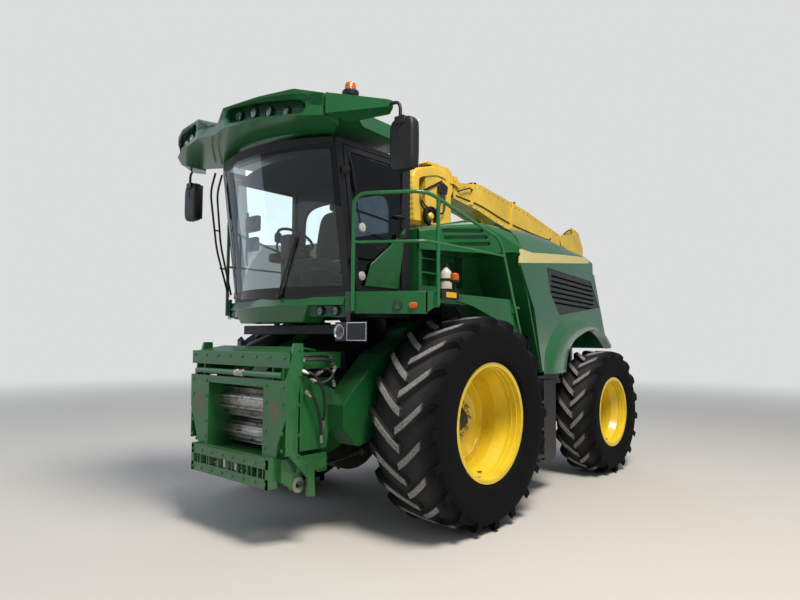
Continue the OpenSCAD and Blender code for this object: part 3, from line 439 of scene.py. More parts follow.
def tyre_rubber(name, x, y, z, radius, half):
    """Rubber that is dark, but pale with dust where the bars touch the ground."""
    made, tree, shader = material(name, Roughness=0.8, Specular_IOR_Level=0.12)
    place = add(tree, "TexCoord", out="Object")
    centred = add(tree, "VectorMath", place, (0.0, y + AXLE_Y, z), operation="SUBTRACT")
    flat = add(tree, "VectorMath", centred, (0.0, 1.0, 1.0), operation="MULTIPLY")
    far = add(tree, "VectorMath", flat, operation="LENGTH", out="Value")
    across = add(tree, "Math", add(tree, "SeparateXYZ", place), operation="ABSOLUTE")
    off = add(tree, "Math", add(tree, "Math", across, x, operation="SUBTRACT"),
              operation="ABSOLUTE")
    fine = add(tree, "TexNoise", place, Scale=60.0, Detail=8.0, Roughness=0.75)
    reach = add(tree, "Math", fine, 0.1, off, operation="MULTIPLY_ADD")
    # Worn faces: near the tread's radius, and up to the shoulder across it
    worn = add(tree, "Math", add(tree, "MapRange", far, radius - 0.012, radius - 0.004),
               add(tree, "MapRange", reach, half * 0.86, half * 0.78), operation="MULTIPLY")
    veil = add(tree, "Math", add(tree, "MapRange", off, half * 0.95, half * 0.4),
               add(tree, "MapRange", far, radius - 0.2, radius - 0.05), operation="MULTIPLY")
    dark = add(tree, "ValToRGB", fine, stops=[(0.3, "#07080a"), (0.7, "#0e0f12")])
    grime = add(tree, "ValToRGB", fine, stops=[(0.3, "#2b2c2e"), (0.7, "#3f4040")])
    face = add(tree, "ValToRGB", fine, stops=[(0.35, "#5c5c5b"), (0.5, "#82827f"),
                                              (0.65, "#a6a5a0")])
    fill(shader, Base_Color=add(tree, "MixRGB", worn, add(tree, "MixRGB", veil, dark, grime),
                                face))
    rough_bump(tree, shader, place, 300.0, 0.25, 0.006)
    return made


def carcass(radius, width, rim):
    """A tyre's section, from bead over the tread to bead, turned about its axle along X."""
    base, half, bead = radius - BAR_HEIGHT, width / 2, width * BEAD_SHARE - 0.0143
    right = curve([(rim - 0.02, bead - 0.03), (rim - 0.004, bead), (rim + 0.012, bead + 0.012),
                   (rim + 0.03, half * 0.925), (rim + 0.06, half * 0.955),
                   ((rim + base) / 2, half), (base - 0.066, half * 0.985),
                   (base - 0.02, half * 0.86), (base - 0.003, half * 0.6), (base, 0.0)], 5)
    return np.vstack([right, right[-2::-1] * (1, -1)])


def bar(radius, half, side, pitch):
    """One bar: sections from middle to shoulder, each a block with rounded top corners."""
    base = radius - BAR_HEIGHT
    # Stations: across, turn, top radius, foot radius, half thickness
    across, turn, top, foot, thick = curve(
        [(-0.05, 0.02, radius, base - 0.012, 0.032), (0.18, -0.17, radius, base - 0.012, 0.034),
         (0.45, -0.44, radius - 0.001, base - 0.016, 0.034),
         (0.72, -0.73, radius - 0.003, base - 0.024, 0.034),
         (0.9, -0.9, radius - 0.012, base - 0.05, 0.035),
         (0.985, -0.97, radius - 0.034, base - 0.096, 0.036)], 3).T
    # Corners of a section: (share of the height, share of the half thickness)
    left = [(0, 1.35), (0.3, 1.1), (0.9, 1.0), (1, 0.92)]
    corners = np.array(left + [(share, -out) for share, out in left[::-1]])
    r = foot[:, None] + (top - foot)[:, None] * corners[:, 0]
    t = thick[:, None] * corners[:, 1]
    a = (turn * pitch)[:, None]
    return capped(np.stack([np.broadcast_to((side * across * half)[:, None], r.shape),
                            r * np.cos(a) - t * np.sin(a), r * np.sin(a) + t * np.cos(a)],
                           axis=-1))


for end, (x, y, z, radius, width, rim, bars) in TYRES.items():
    pitch = ROUND / bars
    section = carcass(radius, width, rim)
    turn = around(TYRE_STEPS)[:, None]
    parts = [grid(np.stack([np.broadcast_to(section[:, 1], (TYRE_STEPS, len(section))),
                            section[:, 0] * np.cos(turn), section[:, 0] * np.sin(turn)],
                           axis=-1), loop_rows=True)]
    for side, start in ((1, 0.0), (-1, 0.5)):
        one = bar(radius, width / 2, side, pitch)
        parts += [rotated(one, pitch * (i + start)) for i in range(bars)]
    points, faces = joined(parts)
    # The frame's own tyres stand with one bar straight down, and so do these
    left = (points[:, [0, 2, 1]] * (1, 1, -1) + (x, y, z), faces)
    rubber = tyre_rubber(f"{end}_tyre_rubber", x, y, z, radius, width / 2)
    for side, part in zip(SIDES, paired(left)):
        made = piece(f"{end}_tread_{side}", [part], rubber, f"{end}_wheel_{side}", 40)
        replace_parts(made, f"{end}_tyre_{side}")

# Wheel fixings: studs with nuts round each hub plate, and the turned hub cap on the spindle's end.
# Forged and zinc plated, tightened on the rim's flat disc.
# end: (x of the plate's face, stud circle's radius, hub cap's radius, hub cap's length)
HUBS = {"front": (1.213, 0.177, 0.118, 0.062), "rear": (1.133, 0.132, 0.1, 0.075)}
ALONG_X, UP = (1, 0, 0), (0, 0, 1)


def unit(way):
    """A direction of length one."""
    way = np.asarray(way, dtype=float)
    return way / np.linalg.norm(way)


def rect(a0, b0, a1, b1):
    """A rectangle's outline from its lowest to its highest corner."""
    return [(a0, b0), (a1, b0), (a1, b1), (a0, b1)]


def turned(profile, centre, axis=ALONG_X, count=32):
    """A surface of revolution: points of (radius, distance along the axis) turned about it."""
    profile = np.asarray(profile, dtype=float)
    axis = unit(axis)
    side = unit(np.cross(axis, UP if abs(axis[2]) < 0.9 else ALONG_X))
    turn = around(count)
    ring = np.outer(np.cos(turn), side) + np.outer(np.sin(turn), np.cross(axis, side))
    return grid(np.asarray(centre) + profile[:, 1, None, None] * axis
                + profile[:, 0, None, None] * ring[None], loop_columns=True)


def rod(radius, length, centre, axis=ALONG_X, count=32):
    """A plain round bar."""
    return turned(rect(0, 0, radius, length), centre, axis, count)


def heads(places, way, size=0.012):
    """Hexagon heads on washers at those places, facing one way."""
    head = [(0, 0.1 * size), (size, 0.1 * size), (size, 0.85 * size), (0.82 * size, size),
            (0, size)]
    return [part for place in places for part in (rod(1.5 * size, 0.22 * size, place, way, 12),
                                                  turned(head, place, way, 6))]


def ring_at(x, y, z, radius, count):
    """Places evenly round an axle."""
    turn = around(count)
    return np.stack([np.full(count, x), y + radius * np.cos(turn), z + radius * np.sin(turn)],
                    axis=-1)


for end, (plate_x, circle, cap_r, cap_len) in HUBS.items():
    x, y, z = TYRES[end][:3]
    studs = ring_at(plate_x, y, z, circle, 10)
    stud = [(0, 0), (0.0095, 0), (0.0095, 0.034), (0.007, 0.038), (0, 0.038)]
    nuts = joined(heads(studs, ALONG_X, 0.02) + [turned(stud, p, count=12) for p in studs])
    cap = turned([(0, 0), (cap_r, 0), (cap_r, 0.018), (cap_r - 0.012, 0.024),
                  (cap_r - 0.03, 0.026), (cap_r - 0.036, cap_len), (cap_r - 0.046, cap_len + 0.008),
                  (0, cap_len + 0.01)], (plate_x, y, z), count=48)
    cap = joined([cap] + heads(ring_at(plate_x + 0.024, y, z, cap_r - 0.02, 8), ALONG_X, 0.008))
    for side, nut_part, cap_part in zip(SIDES, paired(nuts), paired(cap)):
        piece(f"{end}_wheel_nuts_{side}", [nut_part], zinc, f"{end}_wheel_{side}")
        piece(f"{end}_hub_cap_{side}", [cap_part], black_enamel, f"{end}_wheel_{side}")

# Handrails: round tube bent cold, with welded mid rails, enamelled in the body's colour.
# They bolt to the deck's band and to the cab's corner.
RAIL_R, RAIL_X = 0.017, 1.5173
CAB_CORNER = (0.972, -1.199)


def swept(path, radius, count=14):
    """A round bar along a path: rings square to the path, carried along with the least turn."""
    path = np.asarray(path, dtype=float)
    ahead = np.gradient(path, axis=0)
    ahead /= np.linalg.norm(ahead, axis=1)[:, None]
    side = unit(np.cross(ahead[0], (0.3, 0.2, 1.0)))
    turn = around(count)
    rows = []
    for p, a in zip(path, ahead):
        side = unit(side - a * (side @ a))
        rows.append(p + radius * (np.outer(np.cos(turn), side)
                                  + np.outer(np.sin(turn), np.cross(a, side))))
    return capped(rows)


def bent(corners, radius, steps=8):
    """A path through corners, each rounded off by a curve that starts that far before it."""
    corners = [np.asarray(c, dtype=float) for c in corners]
    path = [corners[0]]
    for before, corner, after in zip(corners, corners[1:], corners[2:]):
        reach = min(radius, 0.45 * np.linalg.norm(before - corner),
                    0.45 * np.linalg.norm(after - corner))
        a, b = corner + unit(before - corner) * reach, corner + unit(after - corner) * reach
        path += [(1 - t) ** 2 * a + 2 * t * (1 - t) * corner + t ** 2 * b
                 for t in np.linspace(0, 1, steps)]
    return np.array(path + [corners[-1]])


def plate_faces(count):
    """The faces of a plate whose points are a lower outline and then an upper one."""
    sides = [[i, (i + 1) % count, count + (i + 1) % count, count + i] for i in range(count)]
    return sides + [list(range(count))[::-1], list(range(count, 2 * count))]


def slab(outline, axis, low, high):
    """A plate: an outline of the two other coordinates, from low to high along an axis."""
    outline = np.asarray(outline, dtype=float)
    return (np.vstack([np.insert(outline, "xyz".index(axis), value, axis=1)
                       for value in (low, high)]), plate_faces(len(outline)))


top_rail = bent([(*CAB_CORNER, 2.0), (*CAB_CORNER, 3.03), (RAIL_X, -0.86, 3.03),
                 (RAIL_X, 0.31, 2.76), (RAIL_X, 0.692, 1.775)], 0.13, 10)
post = bent([(RAIL_X, -0.7, 2.05), (RAIL_X, -0.7, 2.985)], 0.05)
mid_rail = bent([(*CAB_CORNER, 2.6), (RAIL_X, -0.86, 2.6), (RAIL_X, 0.371, 2.6)], 0.11, 10)
# Flattened feet against the band; their two bolts are left out
feet = [slab(rect(y - 0.03, z - 0.05, y + 0.03, z + 0.05), "x", 1.5005, 1.507)
        for y, z in ((-0.7, 2.09), (0.572, 2.085), (0.655, 1.87))]
# Enamel on tube: a shade lighter and duller than the body's
rail_paint = enamel("green_rail_enamel", "#1c6a35", BODY_DIRT, 0.3, 0.12)
handrails = piece("deck_handrails", paired(swept(top_rail, RAIL_R), swept(post, RAIL_R),
                                           swept(mid_rail, 0.013, 12), *feet), rail_paint, angle=40)
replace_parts(handrails, "handrails")

# Lamps: round work lamps with a spun reflector behind a moulded lens, in black housings.
# Four stand in each half of the roof, two in each half of the nose and one on each deck band.
FORWARD = np.array([0.0, -1.0, 0.0])
ROOF_LAMPS = [(0.33, -1.962, 3.66), (0.5, -1.933, 3.656), (0.66, -1.896, 3.64),
              (0.81, -1.838, 3.622)]
NOSE_LAMPS = [(0.648, -1.3, 2.006), (0.78, -1.236, 2.008)]
BAND_TURN = math.atan2(0.342, 0.55)
BAND_OUT = np.array([math.sin(BAND_TURN), -math.cos(BAND_TURN), 0.0])
BAND_ALONG = np.array([math.cos(BAND_TURN), math.sin(BAND_TURN), 0.0])


def on_band(x, z, out=0.0):
    """A point on the deck's slanted front band, out from its face."""
    return np.array([x, -1.192 + (x - 0.95) * math.tan(BAND_TURN), z]) + BAND_OUT * out


housings, bowls, lenses = [], [], []
for place, way, r in ([(p, FORWARD, 0.046) for p in ROOF_LAMPS]
                      + [(p, FORWARD, 0.044) for p in NOSE_LAMPS]
                      + [(on_band(1.297, 2.05, 0.0263), BAND_OUT, 0.038)]):
    housings += [turned([(0, -0.079), (r * 0.7, -0.079), (r * 0.94, -0.04), (r, -0.02), (r, 0),
                         (r * 0.88, 0), (r * 0.86, -0.008)], place, way, 40)]
    bowls += [turned([(0.001, -0.05), (r * 0.2, -0.05), (r * 0.45, -0.042), (r * 0.7, -0.028),
                      (r * 0.86, -0.006)], place, way, 32),
              turned([(0, -0.03), (r * 0.16, -0.032), (r * 0.16, -0.05)], place, way, 16)]
    lenses += [turned([(0, 0.0), (r * 0.5, -0.001), (r * 0.87, -0.004), (r * 0.87, -0.008),
                       (0, -0.006)], place, way, 32)]
# Aluminised steel: a spun bowl that is nearly a mirror
reflector = surface("aluminised_reflector", "#d9dcdf", 0.14, 1.0, 0.04, 80.0, 0.02, 0.0,
                    rounding=0)
lens_glass = glass("lamp_lens_glass", "#f4f7f8")
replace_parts(piece("lamp_housings", paired(*housings), black_plastic), "lamps")
piece("lamp_reflectors", paired(*bowls), reflector)
piece("lamp_lenses", paired(*lenses), lens_glass)

# Amber lamps: a flashing beacon on a black socket, markers on short posts and turn signals.
# Their lenses are moulded in ribbed, glowing orange plastic.
BEACON = (1.03, -1.31, 3.735)
DECK_TOP = 2.11


def figured(name, figure, stops, strength, distance, **sockets):
    """A material whose colour and bump follow a figure: a function that gives their values."""
    made, tree, shader = material(name, **sockets)
    shade, height = figure(tree, add(tree, "TexCoord", out="Object"))
    fill(shader, Base_Color=add(tree, "ValToRGB", shade, stops=stops),
         Normal=add(tree, "Bump", Strength=strength, Distance=distance, Height=height))
    return made


def squared(values, power):
    """Sines or cosines raised to a power with their signs kept, which squares a circle."""
    return np.sign(values) * np.abs(values) ** power


# Moulded polycarbonate: saturated orange, with an inner rib every 10 mm up the lens
amber = figured("amber_lens_plastic", lambda tree, place: [
                    add(tree, "TexWave", place, out="Fac", Scale=60.0, Distortion=0.3,
                        bands_direction="DIAGONAL")] * 2,
                [(0.2, "#d4540a"), (0.8, "#f07d16")], 0.3, 0.002, Roughness=0.18,
                Transmission_Weight=0.35, IOR=1.49)
sockets = [turned([(0, 0), (0.04, 0), (0.034, 0.02), (0.034, 0.1), (0.07, 0.108), (0.073, 0.115),
                   (0.073, 0.152), (0.066, 0.16), (0, 0.16)], BEACON, UP, 48)]
domes = [turned([(0.052, 0.158), (0.05, 0.175), (0.047, 0.215), (0.04, 0.229), (0.022, 0.2345),
                 (0, 0.235)], BEACON, UP, 48)]
for x, y, high in ((1.4, -0.3, 0.19), (-1.43, -0.77, 0.12)):
    foot = (x, y, DECK_TOP)
    sockets += [turned([(0, 0.001), (0.026, 0.001), (0.026, 0.008), (0.013, 0.012),
                        (0.013, high - 0.012), (0.042, high - 0.008), (0.044, high + 0.012),
                        (0, high + 0.012)], foot, UP)]
    domes += [turned([(0.041, high + 0.01), (0.04, high + 0.06), (0.034, high + 0.074),
                      (0.018, high + 0.0795), (0, high + 0.08)], foot, UP)]
oval = around(32)
domes += paired(grid([on_band(1.41, 2.05, out)
                      + (np.outer(squared(np.cos(oval), 0.6) * 0.038 * share, BAND_ALONG)
                         + np.outer(squared(np.sin(oval), 0.6) * 0.026 * share, UP))
                      for share, out in ((1.0, 0.001), (1.0, 0.014), (0.93, 0.021),
                                         (0.7, 0.024), (0.02, 0.0243))], loop_columns=True))
piece("amber_sockets", sockets, black_plastic)
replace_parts(piece("amber_domes", domes, amber), "amber_lamps")

# Mirrors: moulded heads with rounded backs on looped steel tube from the roof's wings.
# The silvered glass faces rearwards.
MIRROR = (1.612, -1.265, 3.315)
MIRROR_HALF = (0.125, 0.058, 0.215)


def pillow(centre, half, power, rows=20, columns=40):
    """A closed box-like form with round edges: a sphere whose sines are raised to a power."""
    u = np.linspace(-math.pi / 2, math.pi / 2, rows)[:, None]
    v = around(columns)[None]
    points = np.stack([squared(np.cos(u), power) * squared(np.cos(v), power) * half[0],
                       squared(np.cos(u), power) * squared(np.sin(v), power) * half[1],
                       squared(np.sin(u), power) * half[2] + 0 * v], axis=-1)
    return grid(points + np.asarray(centre), loop_columns=True)


arm = bent([(1.4, -1.314, 3.658), (1.612, -1.314, 3.658), (1.612, -1.314, 3.36)], 0.075, 10)
clamp = slab(rect(-1.335, 3.47, -1.293, 3.53), "x", 1.567, 1.657)
# Silvered glass: a flat, bright mirror
silver = surface("mirror_silvered_glass", "#dfe3e6", 0.04, 1.0, 0.02, 40.0, 0.0, 0.0, rounding=0)
pane = slab(rect(MIRROR[0] - 0.105, MIRROR[2] - 0.195, MIRROR[0] + 0.105, MIRROR[2] + 0.195), "y",
            -1.2125, -1.2065)
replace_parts(piece("mirror_heads", paired(swept(arm, 0.0138), pillow(MIRROR, MIRROR_HALF, 0.42),
                                         clamp), black_plastic), "mirrors")
piece("mirror_panes", paired(pane), silver, bevel=0.004)

# Hood and shoulders: sheet pressed to a crown, in one skin from the crest to the tail.
# The skin is smooth lengthwise where the frame's own solid is cut in flats.
# Stations: (y, height of the lower edge, height of the crest)
HOOD = [(0.7035, 2.672, 3.055), (1.3, 2.736, 3.092), (1.99, 2.81, 3.08), (2.4, 2.847, 3.035),
        (3.00, 2.9, 2.975), (3.42, 2.852, 2.89)]
HOOD_SECTION = [(1.0, 0.0), (0.92, 0.55), (0.8, 0.8), (0.6, 0.93), (0.35, 0.985), (0.0, 1.0)]
TAPER = math.radians(9.6)       # the body's sides draw in towards the rear
SIDE_X, SIDE_Y = 1.45, 1.3      # a point of the left side's plane

half_section = curve(HOOD_SECTION, 5)
shape = np.vstack([half_section, half_section[-2::-1] * (-1, 1)])
stations = curve(HOOD)
stations[:, 1] = np.interp(stations[:, 0], *np.array(HOOD)[:, :2].T)
outer = np.array([np.stack([shape[:, 0] * (SIDE_X - math.tan(TAPER) * (y - SIDE_Y)),
                            np.full(len(shape), y), low + shape[:, 1] * (crest - low)], axis=-1)
                  for y, low, crest in stations])
# The turret stands through the skin: the sheet under it is closed by its black collar
hood_skin = piece("hood_skin", [grid(outer), grid(outer - (0, 0, 0.02))], body_green, angle=40)
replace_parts(hood_skin, "hood_top")
piece("turret_collar", [turned([(0.262, -0.09), (0.318, -0.09), (0.318, 0.012), (0.31, 0.02),
                                (0.292, 0.02), (0.262, 0.0)], (0.0, 1.0, 3.04), UP, 64)],
      black_plastic)

# Wheel arch lips: the side panels' lower edges, drawn out to a rounded flare over each rear wheel.
# The frame's own solid has it in two steps, which this pressed skin covers.
ARCH_LIP = [(1.92, 1.38), (2.04, 1.61), (2.36, 1.78), (3.09, 1.9), (3.64, 1.83), (4.14, 1.64)]
ARCH_TOP = [(1.41, 1.382), (1.48, 1.625), (1.8, 1.866), (2.3, 2.016), (2.85, 2.046),
            (3.74, 1.886), (4.196, 1.704)]
# Across the flare: (share of the way from the lip to its upper edge, height over the panel)
FLARE = [(0.0, -0.03), (0.0, 0.056), (0.02, 0.064), (0.08, 0.068), (0.45, 0.068), (0.77, 0.0655),
         (0.9, 0.054), (1.0, 0.037), (1.1, 0.015), (1.18, 0.004), (1.22, 0.0008)]


def on_side(y, z, out):
    """Points on the left side's plane, out from it."""
    return np.stack([SIDE_X + out * math.cos(TAPER) - (y - SIDE_Y) * math.tan(TAPER),
                     y + out * math.sin(TAPER), z], axis=-1)


def spaced(points, count):
    """A path's points anew, evenly spaced along it."""
    far = np.concatenate([[0], np.cumsum(np.linalg.norm(np.diff(points, axis=0), axis=1))])
    even = np.linspace(0, far[-1], count)
    return np.stack([np.interp(even, far, column) for column in points.T], axis=-1)


lip, rise = (spaced(curve(path, 10), 56) for path in (ARCH_LIP, ARCH_TOP))
flare = grid([on_side(*(lip + (rise - lip) * share).T, out) for share, out in FLARE])
for side, part in zip(SIDES, paired(flare)):
    piece(f"arch_flare_{side}", [part], body_green, f"panel_{side}", 50)

# Chute cover: a rounded hood pressed with ribs, over the front and top of the chute.
# Thin enamelled sheet, with black fittings screwed to the chute's sides.
CHUTE = [(0.548, 3.1603), (0.512, 3.6), (0.57, 3.75), (0.76, 3.822), (0.97, 3.866), (1.15, 3.85)]
RIBS, COVER_STEPS = 20, 150
# One half across: (place across, height over the chute, share of the rib)
COVER = [(-0.2085, -0.09, 0), (-0.2085, 0.0, 0.1), (-0.205, 0.011, 0.5), (-0.19, 0.018, 1),
         (-0.1, 0.02, 1)]
path = spaced(curve(CHUTE, 10), COVER_STEPS)
ahead = np.gradient(path, axis=0)
ahead /= np.linalg.norm(ahead, axis=1)[:, None]
out = np.stack([-ahead[:, 1], ahead[:, 0]], axis=-1)
rib = 0.5 * np.abs(np.sin(math.pi * (np.linspace(0, 1, COVER_STEPS) * RIBS))) ** 0.5
rows = [np.insert(path + out * (high + 0.014 * share * rib)[:, None], 0, x, axis=1)
        for x, high, share in COVER + [(-x, high, share) for x, high, share in COVER[::-1]]]
piece("chute_rib_cover", [grid(rows)], spout_yellow, "turret", 60)
fittings = paired(slab([(0.66, 3.535), (1.05, 3.735), (1.06, 3.708), (0.672, 3.508)], "x", 0.2087,
                       0.2125),
                  slab([(0.96, 3.56), (1.12, 3.56), (1.14, 3.66), (1.05, 3.7), (0.97, 3.64)],
                       "x", 0.1955, 0.235))
piece("chute_dark_fittings", fittings, black_plastic, "turret", bevel=0.004)

# Spout hardware: bolts along the boom's flange, straps, a grab handle, hoses and a drive's guard.
# Plated bolts and pressed straps on enamelled sheet, with rubber hoses and coated bars.
BOOM_SIDE = 0.1955
BOOM_TOP = np.array([(1.31, 3.76), (1.9, 3.85), (3.07, 3.7), (4.2, 3.47)])
BOOM_LOW = np.array([(1.31, 3.56), (1.45, 3.54), (1.9, 3.48), (2.38, 3.37), (2.65, 3.33),
                     (3.5, 3.27), (4.18, 3.262)])
SLEW_DRIVE = (0.8, 3.24)
TURRET = (0.0, 1.0, 0.0)
TEETH = 96
places = np.vstack([spaced(BOOM_TOP, 26)[1:-1] - (0, 0.04), spaced(BOOM_LOW, 18)[1:-1] + (0, 0.03)])
piece("boom_bolts", paired(*heads(np.insert(places, 0, BOOM_SIDE, axis=1), ALONG_X, 0.008)), zinc,
      "boom")


def moved(part, by):
    """A part shifted by three lengths."""
    return part[0] + by, part[1]


def strap(y, tilt):
    """A pressed strap round the boom's side and over its flange."""
    half, over = 0.035, 0.2145
    top = np.interp(y, *BOOM_TOP.T)
    foot = np.interp(y - tilt, *BOOM_LOW.T) + 0.02
    side = [(y - half, top + 0.018), (y + half, top + 0.018), (y + half - tilt, foot),
            (y - half - tilt, foot)]
    return joined([slab(side, "x", BOOM_SIDE, over),
                   slab(rect(y - half, top - 0.006, y + half, top + 0.018), "x", -over, over)])


def hoses(radius, *paths):
    """Round hoses along smooth paths."""
    return [swept(curve(points), radius, 12) for points in paths]


piece("boom_straps", paired(strap(1.76, 0.08), strap(2.76, 0.10)), spout_yellow, "boom",
      bevel=0.003)
handle = swept(bent([(0.196, 1.4, 3.66), (0.235, 1.42, 3.675), (0.235, 1.6, 3.735),
                     (0.235, 1.68, 3.73), (0.196, 1.69, 3.72)], 0.04), 0.009)
wire = swept(curve([(0.201, 1.35, 3.6), (0.205, 1.9, 3.56), (0.205, 2.4, 3.47),
                    (0.205, 2.75, 3.42), (0.205, 3.4, 3.36), (0.205, 3.8, 3.34),
                    (0.205, 3.88, 3.37)]), 0.007, 10)
plate = slab([(2.22, 3.345), (2.62, 3.30), (2.66, 3.325), (2.30, 3.385)], "x", 0.1957, 0.205)
piece("boom_handle_and_wiring", [handle, wire, *paired(plate)], black_plastic, "boom")
piece("chute_hoses", hoses(0.012, [(0.2, 0.62, 3.45), (0.225, 0.63, 3.36), (0.225, 0.70, 3.30),
                                   (0.22, 0.78, 3.26), (0.2, 0.8, 3.2)],
                           [(0.2, 0.66, 3.42), (0.232, 0.72, 3.34), (0.232, 0.85, 3.32),
                            (0.225, 0.98, 3.4), (0.225, 1.04, 3.57)],
                           [(0.2, 0.9, 3.22), (0.24, 0.93, 3.28), (0.24, 1.05, 3.34),
                            (0.225, 1.08, 3.56)]), black_plastic, "turret")
piece("slew_drive_guard", [turned([(0.10, 0.0), (0.118, 0.0), (0.118, 0.05), (0.10, 0.05),
                                   (0.1, 0.0)], (0.2, *SLEW_DRIVE), count=40),
                           slab(rect(0.795, 3.13, 0.805, 3.35), "x", 0.2, 0.23),
                           slab(rect(0.69, 3.235, 0.91, 3.245), "x", 0.2, 0.23)],
      black_plastic, "turret")
piece("slew_drive_hub", [turned([(0, 0.06), (0.03, 0.06), (0.045, 0.045), (0.05, 0.0), (0, 0)],
                                (0.196, *SLEW_DRIVE))], spout_yellow, "turret")
tooth = slab([(0.286, 3.075), (0.306, 3.08), (0.306, 3.145), (0.286, 3.15)], "y", -0.005, 0.005)
piece("slew_ring_teeth", [moved(rotated(tooth, turn, 2), TURRET) for turn in around(TEETH)], zinc,
      "turret")
grab_bar = swept(curve([(0.211, 4.31, 3.5), (0.24, 4.4, 3.56), (0.24, 4.52, 3.58),
                        (0.211, 4.6, 3.56)]), 0.009)
piece("flap_grab_bars", paired(grab_bar), black_plastic, "flap")

# Feeder hardware: bolts round its face, the lock bar's joint, ring eyes, hoses and couplings.
# Plated steel fittings and rubber hose on enamelled plate.
FACE_Y, BEAM_Y, CHEEK_X = -1.7205, -1.7805, 0.7205
bolt_spots = [(x, FACE_Y, z) for z in (1.36, 1.22, 0.98, 0.84) for x in (0.47, 0.7)]
bolt_spots += [(0.62, FACE_Y, 0.8)]
bolt_spots += [(x, BEAM_Y, z) for z in (0.72, 0.56) for x in (0.08, 0.25, 0.42, 0.56)]
bolt_spots += [(x, -1.7125, 1.6) for x in (0.1, 0.3, 0.5, 0.7)]
side_spots = [(CHEEK_X, -1.56, z) for z in (1.66, 1.45, 1.2, 0.95, 0.78)]
side_spots += [(CHEEK_X, -1.47, 0.7), (CHEEK_X, -1.46, 0.5)]
piece("feeder_bolts", paired(*heads(bolt_spots, FORWARD, 0.011))
      + paired(*heads(side_spots, ALONG_X, 0.011)), feeder_green, "feeder")
joint = turned([(0.027, -0.07), (0.036, -0.065), (0.036, -0.02), (0.03, -0.015), (0.03, 0.015),
                (0.036, 0.02), (0.036, 0.065), (0.027, 0.07)], (0.06, -1.702, 1.452), count=12)
eye = turned(rect(0.033, 0.0, 0.066, 0.006), (0.6605, -1.51, 0.53), count=48)
piece("feeder_eye_rings", [*paired(eye), joint], zinc, "feeder")
# Ribs between the slotted beam's two bars
ribs = [slab(rect(x - 0.006, 0.595, x + 0.006, 0.69), "y", -1.775, -1.745)
        for x in (-0.5, -0.34, -0.16, -0.03, 0.06, 0.22, 0.36, 0.52)]
gusset = slab([(-1.715, 0.80), (-1.64, 0.80), (-1.60, 1.30), (-1.66, 1.40), (-1.715, 1.40)], "x",
              0.735, 0.743)
piece("feeder_ribs", ribs + paired(gusset), feeder_green, "feeder", bevel=0.002)
lines = [[(0.735, -1.54, 1.6), (0.78, -1.48, 1.615), (0.79, -1.33, 1.61), (0.76, -1.21, 1.6)],
         [(0.735, -1.54, 1.57), (0.8, -1.45, 1.58), (0.82, -1.31, 1.57), (0.77, -1.2, 1.54)],
         [(0.735, -1.5, 1.48), (0.79, -1.43, 1.45), (0.81, -1.35, 1.33), (0.78, -1.29, 1.16),
          (0.74, -1.28, 1.0)],
         [(0.74, -1.4, 1.4), (0.8, -1.36, 1.38), (0.83, -1.27, 1.42), (0.8, -1.2, 1.5)],
         [(0.74, -1.46, 1.3), (0.77, -1.4, 1.24), (0.77, -1.33, 1.05), (0.74, -1.29, 0.88)],
         [(0.74, -1.34, 1.46), (0.79, -1.3, 1.5), (0.81, -1.24, 1.46), (0.78, -1.19, 1.36)]]
lines = [np.array(points) - (0.045, 0, 0) for points in lines]
coupling = [(0, -0.02), (0.019, -0.02), (0.019, 0.012), (0.016, 0.016), (0.016, 0.05), (0, 0.05)]
ends = [turned(coupling, p, q - p, 6) for points in lines
        for p, q in ((points[0], points[1]), (points[-1], points[-2]))]
piece("feeder_hoses", paired(*hoses(0.0125, *lines)), black_plastic, "feeder")
piece("hose_couplings", paired(*ends), zinc, "feeder")
bracket = paired(slab(rect(-1.53, 1.50, -1.06, 1.64), "x", 0.672, 0.68),
                 slab([(-1.50, 0.80), (-1.20, 0.80), (-1.10, 1.30), (-1.50, 1.46)], "x", 0.648,
                      0.656))
piece("hose_bracket_plates", bracket, feeder_green, "feeder", bevel=0.003)

# Operator's seat: foam cushions in woven cloth with piped seams, on a suspension with a bellows.
# The console to its right carries the armrest and the drive lever.
FLOOR = 2.17            # the cab floor's height
BELLOWS_FOLDS, BELLOWS_STEPS = 6, 40


def weave(tree, place):
    """Warp times weft as one value, for colour and for height: a thread every 1.2 mm."""
    warp, weft = (add(tree, "TexWave", place, out="Fac", Scale=260.0, bands_direction=way)
                  for way in "XZ")
    return [add(tree, "Math", warp, weft, operation="MULTIPLY")] * 2


# Woven polyester: near black, with a soft sheen along the pads' edges
cloth = figured("woven_seat_cloth", weave, [(0.2, "#17181a"), (0.8, "#303236")], 0.4, 0.001,
                Roughness=0.9, Sheen_Weight=0.25)


def cushion(name, centre, half, lean, channels):
    """A stuffed pad: a round-edged box with swelling faces, sewn channels across and a seam."""
    points, faces = pillow((0, 0, 0), half, 0.45, 41, 72)
    across, deep, along = (points / np.asarray(half)).T
    swell = 0.02 * np.clip(1 - across ** 2, 0, 1) * np.clip(1 - along ** 2, 0, 1) * np.sign(deep)
    off = np.abs((across * channels / 2) % 1 - 0.5)
    points[:, 1] += swell - 0.006 * np.exp(-(off / 0.06) ** 2) * np.sign(deep)
    points[:, 0] -= 0.004 * np.exp(-(deep / 0.08) ** 2) * np.sign(across)
    made = piece(name, [moved(rotated((points, faces), math.radians(lean)), centre)], cloth,
                 angle=60)


